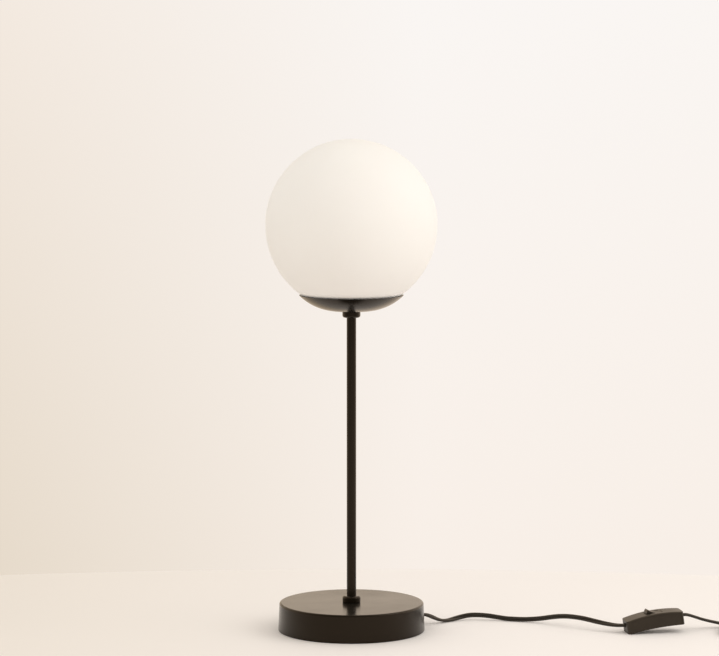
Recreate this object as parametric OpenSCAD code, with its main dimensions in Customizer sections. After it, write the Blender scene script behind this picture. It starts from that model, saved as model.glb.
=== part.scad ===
// Globe table lamp: opal glass ball in a shallow steel dish, thin stem, round weighted base,
// flat two-core cord with an in-line rocker switch and a flat two-pin plug.
// Millimetres, +Z up, origin on the table under the middle of the base.

/* [Base] */
// Diameter of the base cover at its foot
base_d = 155; // [140:1:180]
// Height of the base's top face above the table
base_h = 29.7; // [28:0.1:34]
// How much the cover's radius shrinks from the table to its top
base_draft = 1.2; // [0:0.1:2.5]
// Sheet thickness of the base cover
base_wall = 1.2; // [0.8:0.1:1.6]
// Radius of the cover's rounded top edge
base_edge = 2; // [1.8:0.1:4]
// Thickness of the foot pad
pad_t = 2; // [1.5:0.1:2.5]
// Height of the cover's rim above the table
rim_lift = 0.6; // [0.3:0.1:1.2]
// Thickness of the iron weight's disc
weight_t = 12; // [11.5:0.5:13]
// Diameter of the weight's hub
hub_d = 44; // [38:1:60]
// Thickness of the hub's roof, which the base nut clamps
hub_roof = 3.8; // [2.5:0.1:4]
// Diameter of the pocket for the base nut under the hub's roof
pocket_d = 28; // [25:0.5:32]

/* [Cord exit] */
// Height of the cord's axis where it leaves the base
exit_z = 11; // [10.5:0.1:11.5]
// Direction in which the cord leaves the base, from +X towards +Y
exit_angle = 19; // [14:1:24]
// Diameter of the grommet's barrel
grommet_d = 8; // [7.4:0.1:9]
// How far the grommet's flanges stand out from its barrel
grommet_flange = 1.4; // [0.8:0.1:1.6]
// Thickness of each grommet flange
grommet_flange_t = 1.2; // [0.8:0.1:1.5]
// Distance of the cord clamp from the weight's rim
clamp_inset = 23; // [19:1:27]
// Length of the cord clamp across the groove
clamp_l = 27; // [25:1:34]
// Width of the cord clamp along the cord
clamp_w = 8; // [7:0.5:12]
// Thickness of the cord clamp's bar
clamp_t = 2.5; // [2:0.1:4]

/* [Stem] */
// Visible length of the stem between its two collars
stem_l = 295.2; // [200:0.1:360]
// Outer diameter of the stem tube between its collars
stem_d = 10; // [10:0.1:11]
// Bore of the stem tube
stem_bore = 7.5; // [7.2:0.1:8]
// Outer diameter of the threaded ends
thread_d = 9.9; // [9.8:0.1:10.4]
// Outer diameter of the collars
collar_d = 19; // [16:0.5:22]
// Height of the collars
collar_h = 7; // [5.2:0.1:8]
// Radius of the collars' rounded edge beside the stem
collar_edge = 2.4; // [0.6:0.1:2.6]
// Radius of the collars' edge beside the base or the dish
collar_foot = 0.9; // [0.3:0.1:1.5]
// Distance across the flats of the two stem nuts
nut_af = 14; // [13:0.5:16]
// Thickness of the nut under the base
base_nut_t = 5; // [4:0.1:5.4]
// Thickness of the nut in the dish
dish_nut_t = 3; // [2.5:0.1:4]
// Outer diameter of the washer under the base
base_washer_d = 22; // [18:0.5:24]
// Thickness of the washer under the base
base_washer_t = 1; // [0.8:0.1:1.4]
// Outer diameter of the toothed washer in the dish
lock_washer_d = 17; // [16:0.5:18]
// Thickness of the toothed washer in the dish
lock_washer_t = 0.8; // [0.6:0.1:1.2]

/* [Globe and dish] */
// Outer diameter of the glass globe
globe_d = 180; // [160:1:200]
// Thickness of the glass
glass_t = 3; // [2:0.1:3.4]
// Diameter of the hole in the bottom of the globe
globe_hole_d = 78; // [70:1:84]
// Outer diameter of the dish's rim
dish_d = 109.8; // [104:0.2:116]
// Sheet thickness of the dish
dish_t = 0.8; // [0.6:0.1:1.2]
// Diameter of the flat at the middle of the dish
dish_flat_d = 30; // [28:1:34]
// Radius of the dish's curve beyond that flat
dish_curve = 56.3; // [54:0.1:62]
// Gap between the glass and the dish's rim
rim_gap = 1; // [0.8:0.1:1.4]
// Width of the silicone ring that the glass sits on
seat_w = 6; // [4:0.5:7]
// Diameter of the plate that carries the spring clips
clip_plate_d = 60; // [56:1:64]
// Thickness of that plate
clip_plate_t = 1; // [0.8:0.1:1.4]
// Number of spring clips
clip_count = 3; // [3:1:4]
// Width of each spring clip
clip_w = 8; // [6:0.5:10]
// Thickness of each spring clip
clip_t = 0.5; // [0.4:0.05:0.6]
// Height of each spring clip above the glass's lip
clip_reach = 11; // [9:0.5:12]
// How far each spring clip bulges over the glass's lip
clip_bulge = 1.5; // [1:0.1:1.8]
// Distance of each clip's rivet from the lamp's axis
rivet_at = 22; // [21:0.5:23]
// Diameter of each rivet's shank
rivet_d = 3; // [2.4:0.1:3.4]

/* [Lampholder] */
// Outer diameter of the lampholder's cap
holder_d = 28.4; // [28:0.2:32]
// Height of the lampholder's cap
holder_cap_h = 18; // [17.5:0.5:20]
// Height of the lampholder's skirt
holder_skirt_h = 34; // [33:0.5:36]
// Wall of the lampholder's mouldings
holder_wall = 2; // [1.6:0.1:2.2]
// Length of stem thread inside the lampholder's cap
holder_thread = 6; // [5:0.5:6.5]

/* [Bulb] */
// Diameter of the bulb's ball
bulb_d = 45; // [40:0.5:50]
// Length of the bulb over all
bulb_l = 78; // [75:1:84]
// Diameter over the bulb's screw cap
cap_d = 13.9; // [13.5:0.1:14]
// Rise of one turn of the cap's thread
cap_pitch = 2.82; // [2.5:0.01:3]

/* [Hand switch] */
// Length of the switch
switch_l = 62; // [60:1:70]
// Width of the switch
switch_w = 25; // [24:0.5:28]
// Height of the switch at its ends
switch_end_h = 13.5; // [13:0.1:14.5]
// How much higher the switch is in its middle
switch_crown = 3.2; // [2.8:0.1:3.6]
// Height of the hollow under the switch's middle
switch_arch = 1.7; // [0.5:0.1:2]
// Height of the cord's axis and of the joint between the switch's two halves
switch_split = 8.1; // [7.6:0.1:8.6]
// Wall of the switch housing
switch_wall = 1.8; // [1.4:0.1:2]
// Corner radius of the switch seen from above
switch_corner = 5; // [4:0.5:6]
// Radius along the switch's top edges
switch_edge = 2.4; // [2.2:0.1:3]
// Distance of the rocker's axis from the switch's left end
rocker_at = 31.9; // [31:0.1:33]
// Length of the rocker over its round ends
rocker_l = 18; // [17:0.2:20]
// Width of the rocker
rocker_w = 10.4; // [9.4:0.1:11]
// Height of the rocker's two tips above its axis
rocker_tip = 4.4; // [4:0.1:4.8]
// Depth of the hollow along the rocker's top
rocker_dip = 2; // [1:0.1:2.2]
// Tilt of the rocker to each side
rocker_tilt = 15; // [10:0.5:16]
// Tilt of the contact bridge to each side
bridge_tilt = 8; // [5:0.5:9]

/* [Cord] */
// Width of the flat cord
cord_w = 5.2; // [5:0.1:5.4]
// Thickness of the flat cord
cord_t = 3.2; // [3:0.1:3.3]
// Turns that the coil winds inwards on the table
coil_turns_in = 3; // [2:1:3]
// Turns that it winds outwards on top of them
coil_turns_out = 3.25; // [2.25:1:3.25]
// Step from one turn to the next
coil_pitch = 5.75; // [5.65:0.05:6]
// Height from the lower layer to the upper one
coil_layer = 3.8; // [3.7:0.1:4]

/* [Plug] */
// Width of the plug
plug_w = 35.3; // [34:0.1:36]
// Thickness of the plug
plug_t = 13.7; // [13:0.1:14.2]
// Length of the plug's body
plug_l = 34; // [32:0.5:36]
// Length of the tapered sleeve behind the body
relief_l = 22; // [20:0.5:24]
// Length of the pins outside the plug
pin_l = 19; // [17:0.5:19]
// Diameter of the pins
pin_d = 4; // [3.8:0.1:4.2]
// Distance between the pins' axes
pin_pitch = 18.6; // [17.5:0.1:19]
// Length of each pin's insulating sleeve
sleeve_l = 10; // [9:0.5:10]
// Outer diameter of each pin's sleeve
sleeve_d = 3.4; // [3.2:0.1:3.6]
// Diameter of each pin inside its sleeve
pin_core_d = 2.4; // [2.2:0.1:2.6]

/* [Clearances] */
// Clearance of a thread or a shaft in its bore, on the radius
fit = 0.05; // [0.02:0.01:0.1]
// Gap between pieces that only lie near each other
gap = 0.3; // [0.25:0.05:0.4]

/* [Hidden] */
$fn = 96;
little = 0.1;
black = "#2a2622";
satin = "#3a352f";
iron = "#55534f";
steel = "#b9b9b4";
brass = "#c9a64a";
white = "#f0ede4";

foot_r = base_d / 2;
function cover_r(z) = foot_r - base_draft * z / base_h;
under_top = base_h - base_wall;
weight_r = cover_r(under_top) - base_wall - gap;
weight_top = pad_t + weight_t;
clamp_at = weight_r - clamp_inset;
roof_z = under_top - hub_roof;
base_nut_z = roof_z - base_washer_t - base_nut_t;
stem_z0 = base_nut_z - 0.4;
bend_r = stem_z0 - exit_z;
groove_w = cord_w + 3.8;
groove_z = exit_z - cord_t / 2 - gap;
clamp_screw_y = clamp_l / 2 - 4;
exit_face = cover_r(0) - grommet_flange + 2.5;

collar_z = base_h + collar_h + stem_l;
dish_z = collar_z + collar_h;
globe_r = globe_d / 2;
dish_flat = dish_flat_d / 2;
dish_in = dish_curve - dish_t;
curve_z = dish_z + dish_curve;
rim_z = curve_z - sqrt(pow(dish_curve, 2) - pow(dish_d / 2 - dish_flat, 2));
rim_in_r = dish_flat + sqrt(pow(dish_in, 2) - pow(curve_z - rim_z, 2));
globe_z = rim_z + sqrt(pow(globe_r + rim_gap, 2) - pow(rim_in_r, 2));
seat_out_r = rim_in_r - 2;
hole_r = globe_hole_d / 2;
lip_r = hole_r + glass_t / 2;
lip_ball = globe_r - glass_t / 2;
lip_z = globe_z - sqrt(pow(lip_ball, 2) - pow(lip_r, 2));
plate_z = dish_z + dish_t;
plate_flat = dish_flat - 1;
plate_curve = dish_in - gap;
rivet_slope = asin((rivet_at - plate_flat) / plate_curve);
lock_washer_z = plate_z + clip_plate_t;
dish_nut_z = lock_washer_z + lock_washer_t;

holder_z = dish_nut_z + dish_nut_t + little;
stem_top = holder_z + holder_thread;
holder_r = holder_d / 2;
insert_z = holder_z + holder_cap_h;
insert_top = insert_z + 9.5;
holder_top = insert_z + holder_skirt_h;
mouth_r = cap_d / 2 + 1.45;
terminal_x = 6.5;
terminal_z = insert_z - 8.2;
terminal_h = 6;
sheath_top = stem_top - 2;

bulb_z = insert_top + 1.5;
bulb_top = bulb_z + bulb_l;
ball_z = bulb_top - bulb_d / 2;
ball_foot = ball_z - 17;
cap_top = holder_top + 3.2;

switch_at = [289.4, -16.9, 0];
switch_yaw = 9.6;
switch_pitch = 8.5;
function bow(h) = (pow(switch_l / 2, 2) + pow(h, 2)) / (2 * h);
hole_z = switch_split;
floor_z = switch_arch + switch_wall;
seat_z = switch_arch + 0.7;
roof_h = switch_end_h + switch_crown;
pivot_x = rocker_at;
pivot_z = roof_h - 2.2;
rocker_r = rocker_l / 2;
trunnion_r = 1.2;
cheek_y = rocker_w / 2 + gap;
bridge_pivot_z = floor_z + 1.9;
bridge_rise = 0.7;
bridge_t = 0.8;
plunger_r = 1.5;
plunger_tip = pivot_z - bridge_pivot_z - bridge_rise - bridge_t - gap;
core_r = 0.95;
wire_z = floor_z + 2.8;
line_x = pivot_x - 17;
load_x = pivot_x + 12;
block_l = 5;
grip_x = 9;
post_at = [[8.6, -6.6], [switch_l - 8.6, 6.6]];

rest_z = cord_t / 2;
coil_in_r = 4 * cord_w + coil_pitch / 4;
coil_start_r = coil_in_r + coil_turns_in * coil_pitch;
coil_end_r = coil_in_r + coil_turns_out * coil_pitch;
coil_back = [432, 12.5];
coil_at = coil_back - [0, coil_start_r];
coil_turns = coil_turns_in + 0.5 + coil_turns_out;
rings_a_turn = 24;
plug_at = [coil_at.x + 21, coil_at.y + 14, rest_z * 2 + coil_layer + plug_t / 2 + little];
pin_z0 = relief_l + plug_l;
pin_grip = 8;

// A point given in the switch's own frame, in the lamp's frame
function from_switch(p) =
    let (x = p.x * cos(switch_pitch) - p.z * sin(switch_pitch),
         z = p.x * sin(switch_pitch) + p.z * cos(switch_pitch))
    switch_at + [x * cos(switch_yaw) - p.y * sin(switch_yaw),
                 x * sin(switch_yaw) + p.y * cos(switch_yaw), z];

// Cord from the base to the switch: x, y, z and the roll of its wide side
base_route = [
    [79.6, 27.5, 10.6, 10], [84, 29.2, 8.9, 30], [88.5, 31.5, 6.6, 30], [93, 34.5, 4.3, 15],
    [98, 38.3, 2.5, 0], [103.5, 42.3, 2, 5], [109.5, 46, 2.6, 40], [117.5, 50, 4, 70],
    [127, 52.5, 5.4, 80], [137, 53, 5.5, 90], [147, 52, 4.9, 90], [156.5, 50, 3.8, 90],
    [166, 47, 2.9, 90], [176, 44.5, 2.7, 90], [185.5, 41.5, 3, 90], [195, 38.5, 3.9, 90],
    [204.5, 35, 5.4, 90], [213, 30.5, 7.5, 90], [221.5, 25, 9.4, 90], [229.5, 19, 10.6, 90],
    [237.5, 12.7, 11, 90], [245.5, 6, 10.9, 80], [253, -0.6, 10.3, 65], [261, -7.2, 9.5, 50],
    [269.5, -12.6, 8.6, 35], [278.7, -16.2, 7.9, 15]];

// Cord from the switch to the coil, in the same form
coil_route = [
    [353.6, -5.7, 17.2, 0], [358, -4.4, 16.1, 0], [362.5, -2.6, 14.4, 0], [371.8, 2, 10.7, 0],
    [381.3, 6.6, 7.6, 0], [391, 10.1, 5, 0], [401, 11.8, 2.8, 0], [411, 12.5, 1.8, 0],
    [420.5, 12.5, rest_z, 0]];

// Cord from the top of the coil to the plug, which lies on the coil
tail_route = [
    [391.6, -13, 6, 0], [394, -5.5, 6.9, 0], [398, 1.5, 7.7, 0], [404, 7.8, 8.5, 0],
    [411.5, 12, 9.2, 0], [420, 14, 9.9, 0], [428.5, 14, 10.6, 0], [436.5, 12, 11.3, 0],
    [443.5, 8, 12, 0], [448.8, 2, 12.7, 0], [452, -5, 13.4, 0]];

function unit(v) = v / norm(v);
function between(p, i) = unit(p[min(i + 1, len(p) - 1)] - p[max(i - 1, 0)]);
function heading(p, i) =
    i == 0 || i == len(p) - 1 ? between(p, i)
    : unit(unit(p[i + 1] - p[i]) + unit(p[i] - p[i - 1]));

// One ring of a swept tube: the section's points about p, square to the way t
function ring(p, t, roll, section, up) =
    let (s = unit(cross(up, t)), n = cross(t, s),
         a = s * cos(roll) + n * sin(roll), b = n * cos(roll) - s * sin(roll))
    [for (q = section) p + a * q.x + b * q.y];

// Triangles round a tube of k rings with m points each, and over its two ends
function tube_faces(k, m) = concat(
    [for (i = [0 : k - 2], j = [0 : m - 1]) [i * m + j, (i + 1) * m + (j + 1) % m, i * m + (j + 1) % m]],
    [for (i = [0 : k - 2], j = [0 : m - 1]) [i * m + j, (i + 1) * m + j, (i + 1) * m + (j + 1) % m]],
    [for (j = [1 : m - 2]) [0, j, j + 1]],
    [for (j = [1 : m - 2]) [(k - 1) * m, (k - 1) * m + j + 1, (k - 1) * m + j]]);

// A tube along route points [x, y, z, roll]
module tube(route, section, up = [0, 0, 1]) {
    path = [for (p = route) [p.x, p.y, p.z]];
    rings = [for (i = [0 : len(path) - 1]) each ring(path[i], heading(path, i), route[i][3], section, up)];
    polyhedron(rings, tube_faces(len(path), len(section)), convexity = 8);
}

// The flat cord's eight-sided outline, and the six-sided one of its coil
cord_outline = [for (k = [0 : 7]) let (a = 22.5 + 45 * k, r = cord_t / 2 / cos(22.5))
    [r * cos(a) + sign(cos(a)) * (cord_w - cord_t) / 2, r * sin(a)]];
coil_outline = [for (k = [0 : 5]) let (a = 60 * k)
    abs(sin(a)) < 0.5 ? [sign(cos(a)) * cord_w / 2, 0]
    : [sign(cos(a)) * cord_t / 2, sign(sin(a)) * cord_t / 2]];
function round_outline(r, n) = [for (k = [0 : n - 1]) r * [cos(360 * k / n), sin(360 * k / n)]];

// The coil's centre line after t turns: in below, half a turn to reverse and climb, out above
function coil_climb(t) = min(max((t - coil_turns_in) * 2, 0), 1);
function coil_radius(t) =
    t < coil_turns_in + 0.25 ? coil_start_r - coil_pitch * t
    : coil_in_r + coil_pitch * (t - coil_turns_in - 0.5);
function coil_height(t) = let (f = coil_climb(t)) rest_z + coil_layer * f * f * (3 - 2 * f);
function coil_point(t) = [coil_at.x + coil_radius(t) * sin(360 * t),
    coil_at.y + coil_radius(t) * cos(360 * t), coil_height(t)];
coil_steps = floor(coil_turns * rings_a_turn);
coil_path = [for (i = [0 : coil_steps]) coil_point(i / rings_a_turn)];
coil_first = coil_path[0] - [cord_w, 0, 0];
coil_last = coil_path[coil_steps] + [0, cord_w, 0];
coil_rings = concat([coil_first], coil_path, [coil_last]);

// Gap between two turns of the coil that pass each other at one place, from their section's sides
slant = unit([cord_t / 2, cord_w / 2 - cord_t / 2]);
function turn_gap(dr, dz) = max(abs(dz) - cord_t,
    abs(dr) * slant.x + abs(dz) * slant.y - cord_w * slant.x);
coil_gap = min([for (i = [0 : coil_steps], k = [1 : floor(coil_turns)]) let (j = i + k * rings_a_turn)
    if (j <= coil_steps) turn_gap((coil_radius(j / rings_a_turn) - coil_radius(i / rings_a_turn))
        * cos(180 / rings_a_turn), coil_height(j / rings_a_turn) - coil_height(i / rings_a_turn))]);
echo(least_gap_in_coil = coil_gap);

// Upright ring with a bore, its outer edge well rounded at the top and a little at the foot
module turned_ring(bore_r, r, h, edge, foot) {
    rotate_extrude() {
        translate([bore_r, foot]) square([r - edge - bore_r, h - foot]);
        translate([bore_r, foot]) square([r - bore_r, h - edge - foot]);
        translate([bore_r, 0]) square([r - foot - bore_r, h - edge]);
        translate([r - edge, h - edge]) intersection() {
            circle(edge);
            square(edge);
        }
        translate([r - foot, foot]) intersection() {
            circle(foot);
            translate([0, -foot]) square(foot);
        }
    }
}

module flat_ring(bore_r, r, h) {
    difference() {
        cylinder(r = r, h = h);
        translate([0, 0, -1]) cylinder(r = bore_r, h = h + 2);
    }
}

module hex_nut(t) {
    difference() {
        intersection() {
            cylinder(d = nut_af / cos(30), h = t, $fn = 6);
            cylinder(r = nut_af / 2 / cos(30) - 0.3, h = t);
        }
        translate([0, 0, -1]) cylinder(r = thread_d / 2 + fit, h = t + 2);
    }
}

// Flat cord's outline with round sides, wide along X
module cord_shape(more = 0) {
    side = (cord_w - cord_t) / 2;
    square([2 * side, cord_t + 2 * more], center = true);
    for (x = [-side, side]) translate([x, 0]) circle(cord_t / 2 + more);
}

// Puts Z along the cord where it leaves the base, with the cord's wide side along Y
module at_exit(r = 0) {
    rotate([0, 0, exit_angle]) translate([r, 0, exit_z]) rotate([0, 90, 0]) children();
}

module cover_outline(inset) {
    top_r = cover_r(base_h - base_edge) - inset;
    edge = base_edge - inset;
    polygon([[0, -1], [cover_r(-1) - inset, -1], [top_r, base_h - base_edge], [0, base_h - base_edge]]);
    square([top_r - edge, base_h - inset]);
    translate([top_r - edge, base_h - base_edge]) circle(edge);
}

// Pressed steel shell with a hole for the stem and one for the grommet
module base_cover() {
    color(black) difference() {
        rotate_extrude() intersection() {
            difference() {
                cover_outline(0);
                cover_outline(base_wall);
            }
            translate([0, rim_lift]) square([foot_r, base_h]);
        }
        translate([0, 0, under_top - 1]) cylinder(r = thread_d / 2 + gap, h = base_wall + 2);
        at_exit(weight_r) cylinder(r = grommet_d / 2 + 0.15, h = foot_r);
    }
}

// Cast disc and hub, with a groove for the cord and a pocket for the nut
module base_weight() {
    color(iron) difference() {
        union() {
            translate([0, 0, pad_t]) cylinder(r = weight_r, h = weight_t);
            translate([0, 0, pad_t]) cylinder(d = hub_d, h = under_top - pad_t);
        }
        translate([0, 0, pad_t - 1]) cylinder(d = pocket_d, h = roof_z - pad_t + 1);
        translate([0, 0, roof_z - 1]) cylinder(r = thread_d / 2 + gap, h = hub_roof + 2);
        rotate([0, 0, exit_angle]) translate([0, -groove_w / 2, groove_z])
            cube([foot_r, groove_w, weight_top - groove_z + 0.01]);
        at_exit(weight_r - 3) cylinder(r = grommet_d / 2 + grommet_flange + 0.8, h = 12);
        rotate([0, 0, exit_angle]) for (y = [-clamp_screw_y, clamp_screw_y])
            translate([clamp_at, y, weight_top - 8]) cylinder(d = 2.6 + 2 * fit, h = 9);
    }
}

module base_pad() {
    color("#1c1b1a") cylinder(r = cover_r(pad_t) - base_wall - gap, h = pad_t);
}

module cord_grommet() {
    flange_r = grommet_d / 2 + grommet_flange;
    inner_face = cover_r(exit_z) - base_wall - 1.5 * gap - grommet_flange_t;
    outer_face = exit_face - grommet_flange_t;
    color(black) difference() {
        union() {
            at_exit(inner_face) cylinder(r = grommet_d / 2, h = exit_face - inner_face);
            at_exit(inner_face) cylinder(r = flange_r, h = grommet_flange_t);
            at_exit(outer_face) cylinder(r1 = flange_r, r2 = flange_r - 0.5, h = grommet_flange_t);
        }
        at_exit(inner_face - 1) linear_extrude(exit_face - inner_face + 2) rotate(90) cord_shape(0.15);
    }
}

// Bar across the groove that presses on the cord, so that a tug doesn't reach the terminals
module cord_clamp() {
    press_z = exit_z + cord_t / 2 + fit;
    color(white) rotate([0, 0, exit_angle]) difference() {
        union() {
            translate([clamp_at - clamp_w / 2, -clamp_l / 2, weight_top]) cube([clamp_w, clamp_l, clamp_t]);
            translate([clamp_at - clamp_w / 2, gap - groove_w / 2, press_z])
                cube([clamp_w, groove_w - 2 * gap, weight_top - press_z + clamp_t / 2]);
        }
        for (y = [-clamp_screw_y, clamp_screw_y])
            translate([clamp_at, y, weight_top - 1]) cylinder(d = 3.2, h = clamp_t + 2);
    }
}

module clamp_screws() {
    color(steel) rotate([0, 0, exit_angle]) for (y = [-clamp_screw_y, clamp_screw_y])
        translate([clamp_at, y, weight_top + clamp_t]) pan_screw(5.4, 1.8, 2.6, clamp_t + 7);
}

// Cross-slotted screw standing on its head's seat, with its shank below
module pan_screw(head_d, head_h, shank_d, shank_l) {
    difference() {
        union() {
            cylinder(d1 = head_d, d2 = head_d * 0.8, h = head_h);
            translate([0, 0, -shank_l]) cylinder(d = shank_d, h = shank_l + head_h / 2);
        }
        for (a = [0, 90]) rotate([0, 0, a]) translate([0, 0, head_h])
            cube([head_d * 0.6, head_d * 0.14, head_h], center = true);
    }
}

// The sheathed cord inside: along the groove, round a bend and up the stem
module inner_cord() {
    color(black) rotate([0, 0, exit_angle]) {
        translate([bend_r, 0, exit_z]) rotate([0, 90, 0])
            linear_extrude(exit_face - bend_r) rotate(90) cord_shape();
        translate([bend_r, 0, stem_z0]) rotate([90, 0, 0]) rotate([0, 0, 180])
            rotate_extrude(angle = 90) translate([bend_r, 0]) rotate(90) cord_shape();
        translate([0, 0, stem_z0]) linear_extrude(sheath_top - stem_z0) rotate(90) cord_shape();
    }
}

module base_washer() {
    color(steel) translate([0, 0, roof_z - base_washer_t])
        flat_ring(thread_d / 2 + gap, base_washer_d / 2, base_washer_t);
}

module base_nut() {
    color(steel) translate([0, 0, base_nut_z]) hex_nut(base_nut_t);
}

module collar() {
    turned_ring(thread_d / 2 + fit, collar_d / 2, collar_h, collar_edge, collar_foot);
}

module lower_collar() {
    color(black) translate([0, 0, base_h]) collar();
}

// Steel tube, full size between the collars, with threaded ends that go through them
module stem_tube() {
    color(black) difference() {
        union() {
            translate([0, 0, stem_z0]) cylinder(d = thread_d, h = stem_top - stem_z0);
            translate([0, 0, base_h + collar_h + little]) cylinder(d = stem_d, h = stem_l - 2 * little);
        }
        translate([0, 0, stem_z0 - 1]) cylinder(d = stem_bore, h = stem_top - stem_z0 + 2);
    }
}

module upper_collar() {
    color(black) translate([0, 0, dish_z]) mirror([0, 0, 1]) collar();
}

// Half of a bowl's sheet, cut through: level out to flat_r, then curved, with a hole for the stem
module bowl_shape(flat_r, curve, t, z, reach, up_to) {
    hole = thread_d / 2 + gap;
    intersection() {
        difference() {
            bowl_side(flat_r, curve, z, curve);
            bowl_side(flat_r, curve, z, curve - t);
        }
        translate([hole, z]) square([reach - hole, up_to - z]);
    }
}

module bowl_side(flat_r, curve, z, r) {
    translate([0, z + curve - r]) square([flat_r, 2 * r]);
    translate([flat_r, z + curve]) circle(r, $fn = 360);
}

module dish() {
    color(satin) rotate_extrude() bowl_shape(dish_flat, dish_curve, dish_t, dish_z, dish_d / 2, rim_z);
}

// Puts Z square to the clip plate's underside at the rivet of clip k
module at_rivet(k) {
    rotate([0, 0, 90 + k * 360 / clip_count]) translate([plate_flat, 0, plate_z + plate_curve])
        rotate([0, -rivet_slope, 0]) translate([0, 0, -plate_curve]) children();
}

module clip_plate() {
    color(steel) difference() {
        rotate_extrude()
            bowl_shape(plate_flat, plate_curve, clip_plate_t, plate_z, clip_plate_d / 2,
                       plate_z + plate_curve);
        for (k = [0 : clip_count - 1]) at_rivet(k)
            translate([0, 0, -1]) cylinder(r = rivet_d / 2 + fit, h = clip_plate_t + 2);
    }
}

// Points [radius, height] along one clip: under its rivet, up through the hole, out over the lip
function on_plate(u, w) = [plate_flat + (plate_curve - w) * sin(rivet_slope) + u * cos(rivet_slope),
    plate_z + plate_curve - (plate_curve - w) * cos(rivet_slope) + u * sin(rivet_slope)];
clip_w0 = clip_plate_t + gap + clip_t / 2;
clip_in = hole_r - gap - clip_t / 2 - pow(clip_w / 2, 2) / (2 * hole_r);
clip_line = [on_plate(-1.5 * rivet_d, clip_w0), on_plate(1.3 * rivet_d, clip_w0),
    [clip_in - 1.5 * glass_t, lip_z - 1.4 * glass_t], [clip_in - 0.3 * glass_t, lip_z - 0.7 * glass_t],
    [clip_in, lip_z - 0.25 * glass_t], [clip_in, lip_z + 0.4 * glass_t],
    [clip_in + clip_bulge, lip_z + 0.4 * clip_reach],
    [clip_in + 0.8 * clip_bulge, lip_z + 0.58 * clip_reach],
    [clip_in - 1.9 * clip_bulge, lip_z + clip_reach]];
function turned(v) = [-v.y, v.x];
function ribbon_side(p, t) = [for (i = [0 : len(p) - 1]) p[i] + turned(heading(p, i)) * t];

module spring_clips() {
    color(steel) for (k = [0 : clip_count - 1]) difference() {
        rotate([0, 0, 90 + k * 360 / clip_count]) rotate([90, 0, 0]) linear_extrude(clip_w, center = true)
            polygon(concat(ribbon_side(clip_line, clip_t / 2),
                [for (i = [len(clip_line) - 1 : -1 : 0]) ribbon_side(clip_line, -clip_t / 2)[i]]));
        at_rivet(k) cylinder(r = rivet_d / 2 + fit, h = 4);
    }
}

module clip_rivets() {
    seat = clip_w0 + clip_t / 2;
    color(steel) for (k = [0 : clip_count - 1]) at_rivet(k) {
        translate([0, 0, little]) cylinder(d = rivet_d, h = seat);
        translate([0, 0, seat]) cylinder(d1 = rivet_d * 1.8, d2 = rivet_d * 1.3, h = 1);
    }
}

// Silicone ring that fills the space between the glass and the dish's curve, just below the rim
module seat_ring() {
    color("#d9d6cf") rotate_extrude() intersection() {
        difference() {
            translate([dish_flat, curve_z]) circle(dish_in - little, $fn = 360);
            translate([0, globe_z]) circle(globe_r + little, $fn = 360);
        }
        translate([seat_out_r - seat_w, dish_z]) square([seat_w, rim_z - dish_z]);
    }
}

// Ring with eight radial notches that bite into the nut and the plate
module lock_washer() {
    r = lock_washer_d / 2;
    color(steel) translate([0, 0, lock_washer_z]) difference() {
        flat_ring(thread_d / 2 + gap, r, lock_washer_t);
        for (a = [0 : 45 : 315]) rotate([0, 0, a]) translate([r - 1.2, -0.4, -1])
            cube([3, 0.8, lock_washer_t + 2]);
    }
}

module dish_nut() {
    color(steel) translate([0, 0, dish_nut_z]) hex_nut(dish_nut_t);
}

// Lower moulding of the lampholder, screwed on the end of the stem
module holder_cap() {
    bore = thread_d / 2 + fit;
    inner = holder_r - holder_wall;
    color(white) translate([0, 0, holder_z]) rotate_extrude() polygon([
        [bore, 0], [9.5, 0], [holder_r, 8], [holder_r, holder_cap_h], [inner, holder_cap_h],
        [inner, 9], [8.5, holder_wall], [bore + 2.2, holder_wall], [bore + 2.2, holder_thread],
        [bore, holder_thread]]);
}

// Block that carries the live parts, held between the cap and the skirt
module holder_insert() {
    flange = holder_r - holder_wall + 0.4;
    color("#e6e1d4") difference() {
        union() {
            translate([0, 0, insert_z - 5]) cylinder(r = holder_r - holder_wall - 0.6, h = 6);
            translate([0, 0, insert_z]) cylinder(r = flange, h = 2.2);
            translate([0, 0, insert_z]) cylinder(r = flange - 1.4, h = insert_top - insert_z);
        }
        for (a = [90, 270]) rotate([0, 0, exit_angle + a]) translate([terminal_x - 2.6, -3.1, insert_z - 6])
            cube([12, 6.2, 6 + terminal_z + terminal_h + little - insert_z]);
    }
}

// Brass sleeve that the bulb's cap screws into
module screw_shell() {
    r = cap_d / 2 + 0.2;
    color(brass) translate([0, 0, insert_top]) {
        flat_ring(r, r + 0.35, holder_top - 2.5 - insert_top);
        flat_ring(r, r + 2.2, 0.6);
    }
}

module centre_contact() {
    color(brass) translate([0, 0, insert_top]) {
        translate([-4.5, -1.5, 0]) cube([9, 3, 0.5]);
        cylinder(r = 2.2, h = bulb_z - insert_top - gap);
    }
}

module holder_terminals() {
    color(brass) rotate([0, 0, exit_angle + 90]) for (s = [-1, 1]) translate([s * terminal_x, 0, terminal_z])
        difference() {
            translate([-2.5, -3, 0]) cube([5, 6, terminal_h]);
            translate([0, 0, -1]) cylinder(r = core_r + little, h = 5);
            translate([0, 0, 2.6]) rotate([0, s * 90, 0]) cylinder(r = 1.2 + fit, h = 4);
        }
}

module terminal_screws() {
    color(steel) rotate([0, 0, exit_angle + 90]) for (s = [-1, 1])
        translate([s * (terminal_x + 2.5), 0, terminal_z + 2.6]) rotate([0, s * 90, 0])
            pan_screw(3.8, 1.2, 2.4, 1.3);
}

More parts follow.
